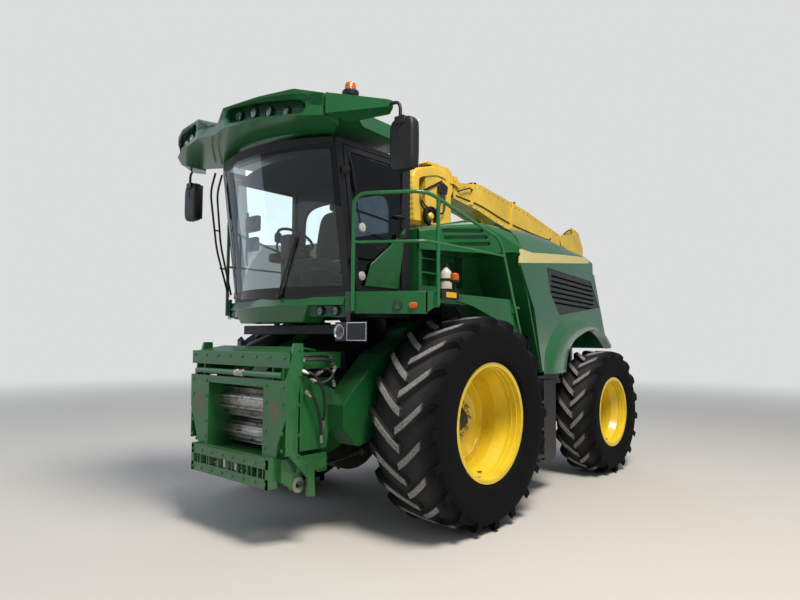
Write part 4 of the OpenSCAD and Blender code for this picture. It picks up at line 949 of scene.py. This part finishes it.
cushion("seat_cushion", (0.0, -0.74, FLOOR + 0.325), (0.255, 0.05, 0.225), 84, 3)
cushion("seat_back", (0.0, -0.535, FLOOR + 0.68), (0.245, 0.05, 0.27), -10, 3)
cushion("seat_head_rest", (0.0, -0.475, FLOOR + 1.03), (0.13, 0.04, 0.075), -10, 1)
cushion("seat_arm_pad", (0.31, -0.70, FLOOR + 0.50), (0.035, 0.025, 0.17), 90, 1)
corner = around(BELLOWS_STEPS)
bellows = []
for t in np.linspace(0, 1, BELLOWS_STEPS):
    swing = 0.17 + 0.012 * math.cos(t * BELLOWS_FOLDS * ROUND)
    bellows.append(np.stack([squared(np.cos(corner), 0.4) * swing,
                             -0.73 + squared(np.sin(corner), 0.4) * swing,
                             np.full(BELLOWS_STEPS, FLOOR + 0.002 + 0.27 * t)], axis=-1))
arm = swept(bent([(0.26, -0.56, FLOOR + 0.44), (0.31, -0.56, FLOOR + 0.45),
                  (0.31, -0.8, FLOOR + 0.47)], 0.05), 0.012)
seat_base = piece("seat_base", [grid(bellows, loop_columns=True),
                                slab(rect(-0.24, -0.96, 0.24, -0.53), "z", FLOOR + 0.262,
                                     FLOOR + 0.28),
                                slab(rect(-0.02, -0.47, 0.02, -0.45), "z", FLOOR + 0.88,
                                     FLOOR + 1.02), arm], trim_plastic)
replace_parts(seat_base, "operator_seat")
console = [pillow((-0.385, -0.8, FLOOR + 0.43), (0.095, 0.25, 0.05), 0.3),
           slab(rect(-0.44, -0.90, -0.33, -0.68), "z", FLOOR + 0.001, FLOOR + 0.40),
           swept(bent([(-0.385, -0.98, FLOOR + 0.46), (-0.385, -1.0, FLOOR + 0.56),
                       (-0.375, -0.985, FLOOR + 0.6)], 0.03), 0.012),
           pillow((-0.375, -0.99, FLOOR + 0.64), (0.03, 0.035, 0.055), 0.6)]
console += [pillow((-0.385 + dx, -0.82 + dy, FLOOR + 0.482), (0.013, 0.013, 0.006), 0.4)
            for dx in (-0.04, 0.0, 0.04) for dy in (-0.05, 0.0, 0.05)]
piece("console", console, trim_plastic, bevel=0.004)

# Cab lining: a moulded headliner, the rear window's trim, the column's shroud, pedals, displays.
# Grained plastic and dark glass screens on a bent steel bar.
# Needled felt: matt warm grey with a nap of 1 mm
liner = surface("headliner_felt", "#3b3733", 0.9, grain=900.0, depth=0.3, dust=0.0)
u, v = np.linspace(-1, 1, 31)[:, None], np.linspace(0, 1, 21)[None]
top = 3.5 - 0.055 * np.abs(u) ** 3 - 0.05 * (1 - np.sin(math.pi * v)) ** 3
front = -1.19 - 0.16 * (1 - u ** 2)
piece("headliner", [grid(np.stack([u * 0.80 + 0 * v, front * (1 - v) + -0.395 * v, top],
                                  axis=-1))], liner, angle=60)


def ring_plate(half_out, half_in, centre, y0, y1, power=0.35, count=96):
    """A flat frame: from a rectangle in to an opening with round corners."""
    square = np.stack([np.cos(around(count)), np.sin(around(count))], axis=-1)
    outer = square / np.abs(square).max(axis=1)[:, None] * half_out
    inner = squared(square, power) * half_in
    return grid([np.insert(ring + centre, 1, y, axis=1) for ring, y in
                 ((outer, y1), (outer, y0), (inner, y0), (inner, y1), (outer, y1))],
                loop_columns=True)


piece("rear_window_trim", [ring_plate((0.76, 0.62), (0.66, 0.40), (0.0, 2.845), -0.42, -0.385)],
      trim_plastic, bevel=0.003)
piece("rear_shelf", [slab(rect(-0.82, -0.62, 0.82, -0.395), "z", FLOOR + 0.001, FLOOR + 0.22)],
      trim_plastic, bevel=0.03)
controls = [pillow((0.06, -1.175, 2.62), (0.075, 0.07, 0.1), 0.5),
            pillow((0.06, -1.21, 2.715), (0.085, 0.03, 0.05), 0.5)]
controls += [swept(bent([(0.06 + s * 0.06, -1.15, 2.66), (0.06 + s * 0.13, -1.13, 2.68),
                         (0.06 + s * 0.18, -1.12, 2.7)], 0.03), 0.007) for s in (-1, 1)]
controls += [slab(rect(x - half, y0, x + half, y1), "z", low, high)
             for half, y0, y1, low, high in ((0.035, -1.33, -1.28, 2.22, 2.232),
                                             (0.008, -1.31, -1.296, 2.171, 2.225))
             for x in (0.2, 0.32)]
piece("column_shroud_and_pedals", controls, trim_plastic, bevel=0.002)
edge = 0.012            # the shells' rim round their screens
screens = []
shells = [swept(bent([(-0.835, -1.05, 2.55), (-0.78, -1.1, 2.62), (-0.74, -1.12, 3.1)], 0.06),
                0.012)]
for z, w, h in ((2.98, 0.12, 0.085), (2.76, 0.1, 0.075)):
    shells.append(pillow((-0.7, -1.08, z), (w, 0.022, h), 0.25))
    screens.append(slab(rect(-0.70 - w + edge, z - h + edge, -0.70 + w - edge, z + h - edge), "y",
                        -1.0585, -1.0565))
piece("display_shells", shells, trim_plastic)
# Glass over switched-off screens: near black and smooth
screen_glass = surface("dark_display_glass", "#0c1216", 0.08, mottle=0.02, grain=20.0, depth=0.0,
                       dust=0.0, rounding=0)
piece("display_screens", screens, screen_glass)

# Door fittings: the pane's round clamps, a wiper on its front edge and grab bars inside.
# Moulded caps, a sprung steel arm and coated tube.
PANE_X = 0.8803
caps = [turned([(0, 0), (0.042, 0), (0.042, 0.008), (0.036, 0.014), (0.014, 0.016), (0.012, 0.02),
                (0, 0.02)], (PANE_X, y, z)) for y, z in ((-1.006, 2.768), (-1.004, 2.325))]
# Moulded ABS: pale grey with a satin skin
pale_plastic = surface("pale_grey_moulded_plastic", "#b9bab4", 0.45, mottle=0.06, grain=300.0,
                       depth=0.05, dust=0.1)
piece("door_pane_clamps", caps, pale_plastic, "cab_door_leaf")
fittings = [swept(curve([(0.884, -1.19, 3.4), (0.905, -1.16, 3.3), (0.905, -1.1, 3.08)]),
                  0.006, 10),
            swept(curve([(0.886, -1.165, 3.34), (0.886, -1.1, 3.08), (0.886, -1.03, 2.8)]),
                  0.007, 10),
            turned([(0, 0), (0.022, 0), (0.022, 0.018), (0, 0.022)], (PANE_X, -1.19, 3.4),
                   count=20)]
fittings += [swept(bent(points, bend), radius) for points, bend, radius in (
    ([(0.868, -1.12, 2.93), (0.835, -1.08, 2.93), (0.835, -0.6, 2.89), (0.835, -0.53, 2.76),
      (0.868, -0.5, 2.72)], 0.05, 0.011),
    ([(0.868, -1.06, 2.61), (0.835, -1.04, 2.61), (0.835, -0.74, 2.59), (0.868, -0.7, 2.59)],
     0.05, 0.011),
    ([(0.894, -0.565, 2.935), (0.93, -0.56, 2.935), (0.93, -0.46, 2.935), (0.894, -0.455, 2.935)],
     0.02, 0.01))]
piece("door_fittings", fittings, black_plastic, "cab_door_leaf")

# Brace tubes at the right front pillar, and the centre camera in the roof's notch.
# Bent steel tube with welded ties, and a moulded case on a plate.
tubes = [swept(bent(points, 0.1), 0.011) for points in (
    [(-0.915, -1.335, 3.5), (-0.965, -1.36, 3.3), (-0.965, -1.3, 2.75), (-0.915, -1.19, 2.22)],
    [(-0.905, -1.42, 3.5), (-0.945, -1.45, 3.3), (-0.945, -1.36, 2.7), (-0.905, -1.225, 2.2)])]
tubes += [swept(path, 0.008) for path in ([(-0.965, -1.31, 2.9), (-0.945, -1.39, 2.9)],
                                          [(-0.962, -1.24, 2.5), (-0.94, -1.32, 2.5)])]
piece("pillar_brace_tubes", tubes, black_plastic)
piece("roof_camera", [pillow((0.0, -1.80, 3.80), (0.035, 0.045, 0.028), 0.4),
                      slab(rect(-0.03, -1.80, 0.03, -1.74), "z", 3.765, 3.785)], black_plastic)

# Deck fittings: a ribbed rubber mat, a reflector block, the extinguisher and the lamp board.
# Moulded rubber, plastic and painted steel, clamped or bolted to the deck.
BOTTLE = (1.24, -0.22, 2.1165)
BOARD_LAMP = (0.862, -1.2433, 1.822)
# Moulded rubber: dull and trodden grey, with a rib every 22 mm along the deck
mat = figured("ribbed_rubber_mat", lambda tree, place: (
                  add(tree, "TexNoise", place, Scale=8.0, Detail=8.0),
                  add(tree, "TexWave", place, out="Fac", Scale=14.0, bands_direction="Y")),
              [(0.35, "#1b1c1d"), (0.7, "#3c3a36")], 0.8, 0.004, Roughness=0.8)
mats = [slab(outline, "z", 2.1105, 2.116) for outline in (
    [(0.905, -1.1), (1.0, -1.1), (1.44, -0.82), (1.44, -0.33), (0.905, -0.33)],
    rect(1.0, -0.32, 1.33, 0.7))]
piece("deck_mats", paired(*mats), mat, bevel=0.002)
piece("reflector_blocks", paired(slab(rect(-0.655, 2.118, -0.40, 2.19), "x", 1.5005, 1.528)),
      black_plastic, bevel=0.004)
# Moulded acrylic: glossy amber, in prisms of 4 mm, coarser than real so that they show
reflex = surface("amber_reflex_plastic", "#d9a420", 0.2, mottle=0.08, grain=250.0, depth=0.4,
                 dust=0.03, rounding=0)
piece("side_reflectors", paired(slab(rect(-0.60, 2.13, -0.45, 2.178), "x", 1.5283, 1.532)),
      reflex, bevel=0.002)
bottle = turned([(0, 0), (0.048, 0.002), (0.055, 0.012), (0.055, 0.26), (0.05, 0.29),
                 (0.03, 0.315), (0.018, 0.325), (0.018, 0.34)], BOTTLE, UP, 40)
valve = [turned([(0.02, 0.335), (0.022, 0.345), (0.022, 0.365), (0.0, 0.37)], BOTTLE, UP, 20),
         slab([(1.22, 2.475), (1.32, 2.50), (1.32, 2.51), (1.22, 2.49)], "y", -0.23, -0.21),
         swept(curve([(1.24, -0.22, 2.47), (1.19, -0.22, 2.46), (1.175, -0.22, 2.36),
                      (1.18, -0.22, 2.22)]), 0.009)]
valve += [turned(rect(0.0555, low, 0.059, low + 0.025), BOTTLE, UP, 40) for low in (0.1, 0.2)]
valve += [slab(rect(1.225, -0.162, 1.255, -0.15), "z", 2.117, 2.36)]
# Powder coat on steel: warm white with an orange peel of 4 mm
cream = surface("cream_powder_coat", "#d8d3c4", 0.35, mottle=0.05, grain=260.0, depth=0.05,
                dust=0.1)
piece("extinguisher_bottle", [bottle], cream)
piece("extinguisher_bracket", valve, black_plastic)
piece("lamp_board", [slab(rect(0.80, 1.74, 1.19, 1.905), "y", -1.243, -1.237),
                     slab(rect(0.93, 1.90, 0.98, 2.0), "y", -1.237, -1.229),
                     slab(rect(0.93, 1.98, 0.98, 2.0), "y", -1.23, -1.17)], black_enamel,
      bevel=0.002)
bowl = turned([(0.001, -0.012), (0.03, -0.012), (0.052, 0.002), (0.06, 0.012), (0.064, 0.012),
               (0.064, 0.0)], BOARD_LAMP, FORWARD, 40)
piece("board_frame_and_lamp", [ring_plate((0.118, 0.078), (0.112, 0.072), (1.068, 1.823), -1.2465,
                                          -1.2432, 0.05), bowl], reflector)
piece("board_lamp_lens", [turned([(0, 0.018), (0.03, 0.017), (0.06, 0.012), (0.06, 0.008),
                                  (0, 0.01)], BOARD_LAMP, FORWARD, 40)], lens_glass)

# Rear: a louvred air screen and tail lamps on the sloped panel, and a filler cap on each tank.
# Pressed sheet, red lens plastic and moulded caps.
TAIL_FOOT, TAIL_RUN, TAIL_FALL = (3.425, 2.697), 0.825, 1.057


def on_tail(x, z, out):
    """A point on the sloped rear panel: across, a height, and out from its face."""
    slope = math.hypot(TAIL_RUN, TAIL_FALL)
    y = TAIL_FOOT[0] + TAIL_RUN / TAIL_FALL * (TAIL_FOOT[1] - z) + out * TAIL_FALL / slope
    return np.array([x, y, z + out * TAIL_RUN / slope])


def sheet_on(place, outline, low, high):
    """A sheet on a plane: place gives points for an outline's coordinates and a way out."""
    return (np.vstack([[place(np.float64(a), np.float64(b), out) for a, b in outline]
                       for out in (low, high)]), plate_faces(len(outline)))


louvres = []
for z in np.linspace(2.02, 2.62, 12):
    half = 0.62 - 0.14 * (z - 2.05)
    louvres.append(grid([[on_tail(x, z + dz, out) for x in np.linspace(-half, half, 9)]
                         for dz, out in ((0.022, 0.001), (0.016, 0.012), (-0.012, 0.016),
                                         (-0.016, 0.012), (-0.014, 0.001))]))
piece("rear_louvres", louvres, body_green, angle=50)
piece("rear_screen", [grid([[on_tail(-half, z, 0.0012), on_tail(half, z, 0.0012)]
                            for half, z in ((0.66, 1.99), (0.56, 2.65))])], grey_plastic)
# Moulded acrylic: deep red, in cells of 11 mm; each cell is painted dark in its middle and bright
# at its edge, a painted glint of light on the prisms
red = figured("red_lens_plastic_painted_glints",
              lambda tree, place: [add(tree, "TexVoronoi", place, Scale=90.0)] * 2,
              [(0.1, "#5e0d0d"), (0.7, "#a51a14")], 0.4, 0.001, Roughness=0.15)
tails, cases = ([sheet_on(on_tail, rect(x - grow, 1.72 - grow, x + 0.1 + grow, 1.83 + grow), low,
                          high) for x in (0.6, 0.72)]
                for grow, low, high in ((0.0, 0.012, 0.03), (0.01, 0.001, 0.014)))
piece("tail_lamp_cases", paired(*cases), black_plastic, bevel=0.003)
piece("tail_lamps", paired(*tails), red, bevel=0.006)
cap = turned([(0, 0), (0.07, 0), (0.07, 0.012), (0.06, 0.016), (0.058, 0.045), (0.05, 0.052),
              (0, 0.054)], (1.2003, 1.8, 1.12), count=40)
grip = slab(rect(1.76, 1.112, 1.84, 1.128), "x", 1.25, 1.27)
piece("tank_filler_caps", paired(cap, grip), black_plastic, bevel=0.002)

# Roof: a moulded visor with two lamp recesses, a notch between them, a crowned cap and two wings.
# Each form is cut from plates by its side, front and plan outlines, and stands on the cab.


def carved(parts, tool, way="DIFFERENCE"):
    """Closed forms cut, met or joined exactly by others: points and faces in the axle frame."""
    made = [new_object(name, *joined(forms))
            for name, forms in (("carved_form", parts), ("carving_form", tool))]
    cut = made[0].modifiers.new("cut", "BOOLEAN")
    cut.operation, cut.object, cut.solver, cut.use_self = way, made[1], "EXACT", True
    bpy.context.view_layer.update()
    result = made[0].evaluated_get(bpy.context.evaluated_depsgraph_get()).to_mesh()
    points = np.array([v.co[:] for v in result.vertices]).reshape(-1, 3)
    faces = [list(p.vertices) for p in result.polygons]
    for thing in made:
        mesh = thing.data
        bpy.data.objects.remove(thing)
        bpy.data.meshes.remove(mesh)
    return points, faces


def met(part, other):
    """What two closed forms share."""
    return carved([part], [other], "INTERSECT")


def mm(outline, axis, low, high):
    """A plate from values in millimetres."""
    return slab(np.asarray(outline, dtype=float) / 1000, axis, low / 1000, high / 1000)


def box_at(low, high):
    """A bar from its lowest to its highest corner, in millimetres."""
    return mm(rect(*low[:2], *high[:2]), "z", low[2], high[2])


def mirrored(outline):
    """The other half of an outline: the points in reverse, with x turned over."""
    return [(-x, y) for x, y in outline[::-1]]


def belt(a, ra, b, rb):
    """The outline round two circles."""
    turn = math.atan2(b[1] - a[1], b[0] - a[0])
    off = math.acos((ra - rb) / math.dist(a, b))
    return [(c[0] + r * math.cos(t), c[1] + r * math.sin(t))
            for c, r, start, end in ((a, ra, turn + off, turn + ROUND - off),
                                     (b, rb, turn - off, turn + off))
            for t in np.linspace(start, end, 15)]


visor_front = [(0, -1985), (200, -2035), (620, -1962), (900, -1850), (1110, -1690)]
visor_plan = visor_front + [(1040, -1450), (700, -1250), (0, -1250)]
visor_plan += mirrored(visor_plan[1:-1])
# The lamps' recesses are 70 mm deep and follow the visor's curved front
recess = mm(belt((306, 3656), 64, (938, 3630), 60), "y", -2100, -1650)
recesses = carved(paired(recess), [mm([(x, y + 70) for x, y in visor_plan], "z", 3500, 3800)])
cap = met(mm([(-2040, 3740), (-1990, 3752), (-1500, 3840), (-1100, 3885), (-700, 3872),
              (-450, 3800), (-400, 3720), (-400, 3600), (-2040, 3600)], "x", -1200, 1200),
          mm([(-1150, 3600), (-1150, 3735), (-950, 3775), (-600, 3850), (-200, 3885), (200, 3885),
              (600, 3850), (950, 3775), (1150, 3735), (1150, 3600)], "y", -2100, -300))
cap_plan = visor_front + [(1120, -1300), (1000, -1120), (960, -700), (880, -400), (0, -400)]
cap = met(cap, mm(cap_plan + mirrored(cap_plan[1:-1]), "z", 3640, 4000))
notch = met(mm([(-70, 3650), (70, 3650), (520, 3960), (-520, 3960)], "y", -2100, -1600),
            mm([(-2100, 3600), (-1700, 3815), (-1700, 4000), (-2100, 4000)], "x", -600, 600))
hollow = carved([notch], [recesses], "UNION")
visor, cap = (carved([form], [hollow]) for form in (mm(visor_plan, "z", 3560, 3740), cap))
wing = met(mm([(1128, -1680), (1500, -1345), (1512, -1290), (1420, -1230), (1128, -1400)], "z",
              3500, 3800),
           mm([(1128, 3572), (1512, 3632), (1512, 3690), (1128, 3745)], "y", -1800, -1100))
stub = box_at((1040, -1600, 3600), (1150, -1500, 3690))
roof = piece("roof_shell", [visor, cap, *paired(wing), *paired(stub)], body_green, bevel=0.008)
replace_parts(roof, "cab_roof")

# Nose: a faceted sheet panel under the windscreen, with lamp pods below it and a black bar.
# Folded sheet, bolted to the cab's floor.
nose_half = [(300, -1452), (600, -1362), (870, -1228)]
nose_ring = mirrored(nose_half) + [(0, -1490)] + nose_half
rings = [[(x, y + inset, z) for x, y in nose_ring] + [(870, -1123, z), (-870, -1123, z)]
         for z, inset in ((1905, 50), (2055, 0), (2134, 45))]
corner = mm([(480, 1890), (572, 2055), (1000, 2055), (1000, 1890)], "y", -1600, -1100)
nose = carved([capped(np.array(rings) / 1000)], paired(corner))
pod = mm([(520, -1315), (600, -1297), (850, -1173), (850, -1123), (520, -1123)], "z", 1955, 2056)
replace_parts(piece("nose_facets", [nose, *paired(pod)], body_green, bevel=0.006), "nose_panel")
piece("bar_under_nose", [mm(rect(-1165, 1800, -905, 1890), "x", -700, 700)], black_plastic,
      bevel=0.006)

# Deck: plate beside the cab, with a front band and a side band cut out over the wheel.
# Folded and enamelled sheet on the frame.
deck = [mm([(895, -1140), (950, -1165), (1476, -838), (1476, 745), (985, 745), (985, -325),
            (895, -325)], "z", 2080, 2110),
        mm([(895, -1215), (950, -1192), (1500, -850), (1500, -820), (1475, -820), (1475, -836),
            (941, -1168), (895, -1188)], "z", 1978, 2172),
        mm([(-850, 1978), (-850, 2172), (560, 2172), (745, 1770), (700, 1770), (500, 1890),
            (-140, 2070), (-410, 2110), (-620, 2080), (-760, 2020)], "x", 1475, 1500)]
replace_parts(piece("deck_and_bands", paired(*deck), body_green, bevel=0.004), "platforms")

# Hood front: the wall beside the cab with its step recesses, and the shoulder with three slots.
# Welded sheet, enamelled, with round rungs across the recess.
WALL = 980      # the wall's outer face, in millimetres


def folded(stations, deep, half):
    """Plates along a folded line of (y, z), in millimetres: one for each stretch."""
    return [mm([a, b, (b[0], b[1] + deep), (a[0], a[1] + deep)], "x", -half, half)
            for a, b in zip(stations, stations[1:])]


side_wall = mm([(-320, 2080), (-320, 2850), (410, 3035), (703, 3052), (703, 2460), (1250, 1400),
                (1000, 1400), (850, 1640), (600, 1900), (300, 2080)], "x", WALL - 30, WALL)
holes = [(-270, 2290, -30, 2710), (20, 2300, 410, 2630)]
pockets = [mm(rect(y0 - 12, z0 - 12, y1 + 12, z1 + 12), "x", WALL - 130, WALL - 29)
           for y0, z0, y1, z1 in holes]
hollows = [mm(rect(*hole), "x", WALL - 118, WALL + 10) for hole in holes]
side_wall = carved([carved([side_wall], pockets, "UNION")], hollows)
rungs = [swept([(0.958, -0.272, z), (0.958, -0.028, z)], 0.014) for z in (2.42, 2.565)]
# Stations of the shoulder: (y, its upper edge in x and z, height of its foot)
stations = [(-320, [(960, 2850), (965, 2845), (980, 2838), (986, 2820)], 2640),
            (0, [(960, 2930), (1050, 2922), (1120, 2910), (1150, 2885)], 2640),
            (350, [(960, 3012), (1130, 2990), (1290, 2950), (1335, 2915)], 2640),
            (600, [(960, 3032), (1200, 2985), (1385, 2910), (1470, 2780)], 2666),
            (703, [(960, 3028), (1240, 2978), (1426, 2882), (1545, 2700)], 2676)]
shoulder = capped(np.array([[(x, y, z) for x, z in edge] + [(edge[-1][0], y, foot), (960, y, foot)]
                            for y, edge, foot in stations]) / 1000)
# Three slots that run rearwards and outwards along the shoulder
slots = [moved(rotated(mm(belt((x0, z0), 20, (x1, z1), 20), "y", -90, 30), math.atan2(920, 485),
                       2), (0.985, -0.32, 0))
         for x0, z0, x1, z1 in ((265, 2842, 690, 2868), (285, 2774, 740, 2806),
                                (320, 2706, 770, 2740))]
sheet = met(mm([(620, 2660), (1250, 1400), (1272, 1411), (642, 2671)], "x", WALL, 1600),
            mm([(900, 500), (900, 1400), (1417, 1400), (1569, 500)], "z", 1300, 2800))
front = paired(side_wall, carved([shoulder], slots), sheet, *rungs)
front += folded([(-320, 2850), (410, 3035), (703, 3052)], -30, WALL - 30)
front += [mm(rect(-320, 2080, -290, 2820), "x", 30 - WALL, WALL - 30)]
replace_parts(piece("hood_front_panels", front, body_green, bevel=0.004), "hood_front")

# Feeder: face plate, uprights, cheeks, slotted beam and side hooks with an eye for a header's pin.
# Welded thick plate; the eyes are bored through a boss.
THROAT = 430    # half the width of the feeder's throat, in millimetres
PIN = (-1.51, 0.53)     # the eye for a header's pin
upright = mm([(-1620, 1720), (-1530, 1720), (-1520, 1550), (-1570, 1290), (-1570, 810),
              (-1385, 640), (-1375, 420), (-1455, 430), (-1460, 590), (-1670, 800),
              (-1700, 1410)], "x", 690, 720)
cheek = mm([(-1690, 700), (-990, 700), (-700, 800), (-620, 800), (-620, 1040), (-1000, 1400),
            (-1690, 1400)], "x", THROAT, THROAT + 30)
hook = mm([(-1690, 580), (-1690, 760), (-1200, 760), (-1200, 640), (-1470, 600), (-1500, 520),
           (-1600, 520)], "x", 600, 660)
hook = carved([carved([hook], [rod(0.067, 0.06, (0.6, *PIN), count=40)], "UNION")],
              [rod(0.032, 0.1, (0.58, *PIN))])
feeder = paired(upright, cheek, rod(0.12, 0.03, (0.43, -0.62, 0.92), count=48), hook,
                box_at((655, -1560, 640), (695, -1480, 700)),
                box_at((560, -1780, 520), (604, -1685, 770)),
                box_at((460, -1260, 640), (600, -1200, 700)),
                mm(rect(-1200, 572, -1100, 700), "x", 440, 468),
                mm(rect(-1200, 572, -1100, 700), "x", 532, 560),
                box_at((460, -1260, 700), (560, -1100, 716)))
feeder += [carved([mm([(-750, 1410), (-740, 1100), (-600, 790), (-600, 690), (600, 690),
                       (600, 790), (740, 1100), (750, 1410)], "y", -1720, -1690)],
                  [box_at((-THROAT, -1730, 762), (THROAT, -1680, 1345))]),
           box_at((-600, -1780, 680), (600, -1715, 760)),
           box_at((-600, -1780, 520), (600, -1740, 600)),
           box_at((-THROAT, -1695, 720), (THROAT, -1020, 745)),
           box_at((-THROAT, -1690, 1345), (THROAT, -1080, 1375))]
feeder += [box_at((x - 8, -1778, 598), (x + 8, -1742, 682)) for x in range(-450, 451, 150)]
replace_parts(piece("feeder_plates", feeder, feeder_green, "feeder", bevel=0.003), "feeder_housing")

# Feeder cover: a sloped lid over the throat with a lip, and the lock bar in the slot below it.
# Folded sheet on side plates, and a round bar.
plan = mm([(-684, -1691), (684, -1691), (560, -1250), (-560, -1250)], "z", 1500, 1800)
tops = [met(part, plan) for part in folded([(-1700, 1640), (-1450, 1688), (-1250, 1664)], -22,
                                           700)]
ears = [mm([(-1705, 1410), (-1705, 1638), (-1450, 1680), (-1260, 1655), (-1300, 1500),
            (-1500, 1410)], "x", 530, 548), mm([(-1705, 1410), (-1705, 1520), (-1650, 1520),
                                                (-1650, 1410)], "x", 665, 684)]
cover = piece("feeder_cover", [box_at((-750, -1712, 1515), (750, -1690, 1640)), *tops,
                               *paired(*ears), rod(0.027, 1.34, (-0.67, -1.702, 1.452))],
              feeder_green, "feeder", bevel=0.003)
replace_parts(cover, "feeder_hood")

# Flap and door: the spout flap's cheeks and folded top, and the green panel low on the door.
# Thin sheet, hinged with the flap or bonded on the pane.
fin = mm([(4195, 3390), (4200, 3460), (4300, 3500), (4600, 3650), (4860, 3590), (5035, 3330),
          (5020, 3200), (4600, 3230), (4240, 3300)], "x", 196, 208)
flap = paired(fin) + folded([(4290, 3462), (4620, 3420), (5018, 3332)], 12, 197)
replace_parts(piece("flap_plates", flap, spout_yellow, "flap", bevel=0.003), "spout_flap")
leaf_panel = mm([(-985, 2236), (-536, 2236), (-428, 2838), (-660, 2632), (-910, 2440)], "x", 895,
                907)
piece("door_lower_panel", [leaf_panel], body_green, "cab_door_leaf", bevel=0.003)

# Sheets that close the body's upper edge: a skirt over each side panel, the tail's top, corners.
# Painted sheet in the planes of the side panels and of the sloped tail.
skirt = sheet_on(on_side, [(0.97, 2.7005), (3.425, 2.7005), (3.42, 2.849), (3.0, 2.897),
                           (1.99, 2.807), (0.98, 2.7025)], -0.025, 0.0)
piece("panel_skirts", paired(skirt), panel_green, bevel=0.002)
tail_top = slab([(-1.07, 2.6985), (1.07, 2.6985), (1.085, 2.852), (0, 2.884), (-1.085, 2.852)],
                "y", 3.40, 3.42)
tail_corner = sheet_on(on_tail, [(0.9305, 1.642), (0.945, 1.642), (1.07, 2.69), (0.9305, 2.69)],
                       -0.02, 0.0)
piece("tail_sheets", [tail_top, *paired(tail_corner)], body_green, bevel=0.002)

# Rim fittings: rolled beads in the barrel and on the disc, an air valve and a bare plate.
# Pressed steel under the rim's own enamel, a brass valve in black rubber, a foil plate.
# end: (radius and depth of the bead on the disc)
DISC_BEADS = {"front": (0.40, -0.0755), "rear": (0.31, -0.0835)}
# Anodised aluminium: a pale, satin plate without print
foil = surface("plain_foil_plate", "#b9bab8", 0.35, 0.6, mottle=0.05, grain=200.0, depth=0.02,
               dust=0.1)
for end, (x, y, z, radius, width, rim, bars) in TYRES.items():
    half, barrel = BEAD_SHARE * width, rim - 0.038
    disc_r, disc_d = DISC_BEADS[end]
    beads = [turned([(barrel + 0.001, d - 0.009), (barrel - 0.006, d - 0.004),
                     (barrel - 0.006, d + 0.004), (barrel + 0.001, d + 0.009)], (x, y, z),
                    count=96) for d in (half * 0.64, half * 0.82)]
    beads.append(turned([(disc_r - 0.014, disc_d - 0.002), (disc_r - 0.007, disc_d + 0.009),
                         (disc_r + 0.007, disc_d + 0.008), (disc_r + 0.014, disc_d - 0.004)],
                        (x, y, z), count=96))
    low = z - barrel
    valve = swept([(x + half * share, y + 0.075, low + high)
                   for share, high in ((0.22, 0.012), (0.36, 0.03), (0.46, 0.036))], 0.007, 12)
    plate = slab(rect(x + half * 0.52, y - 0.075, x + half * 0.60, y + 0.005), "z", low + 0.001,
                 low + 0.009)
    for side, *parts in zip(SIDES, paired(joined(beads)), paired(valve), paired(plate)):
        for name, part, made in zip(("rim_beads", "air_valve", "rim_plate"), parts,
                                    (rim_yellow, black_plastic, foil)):
            piece(f"{end}_{name}_{side}", [part], made, f"{end}_wheel_{side}")
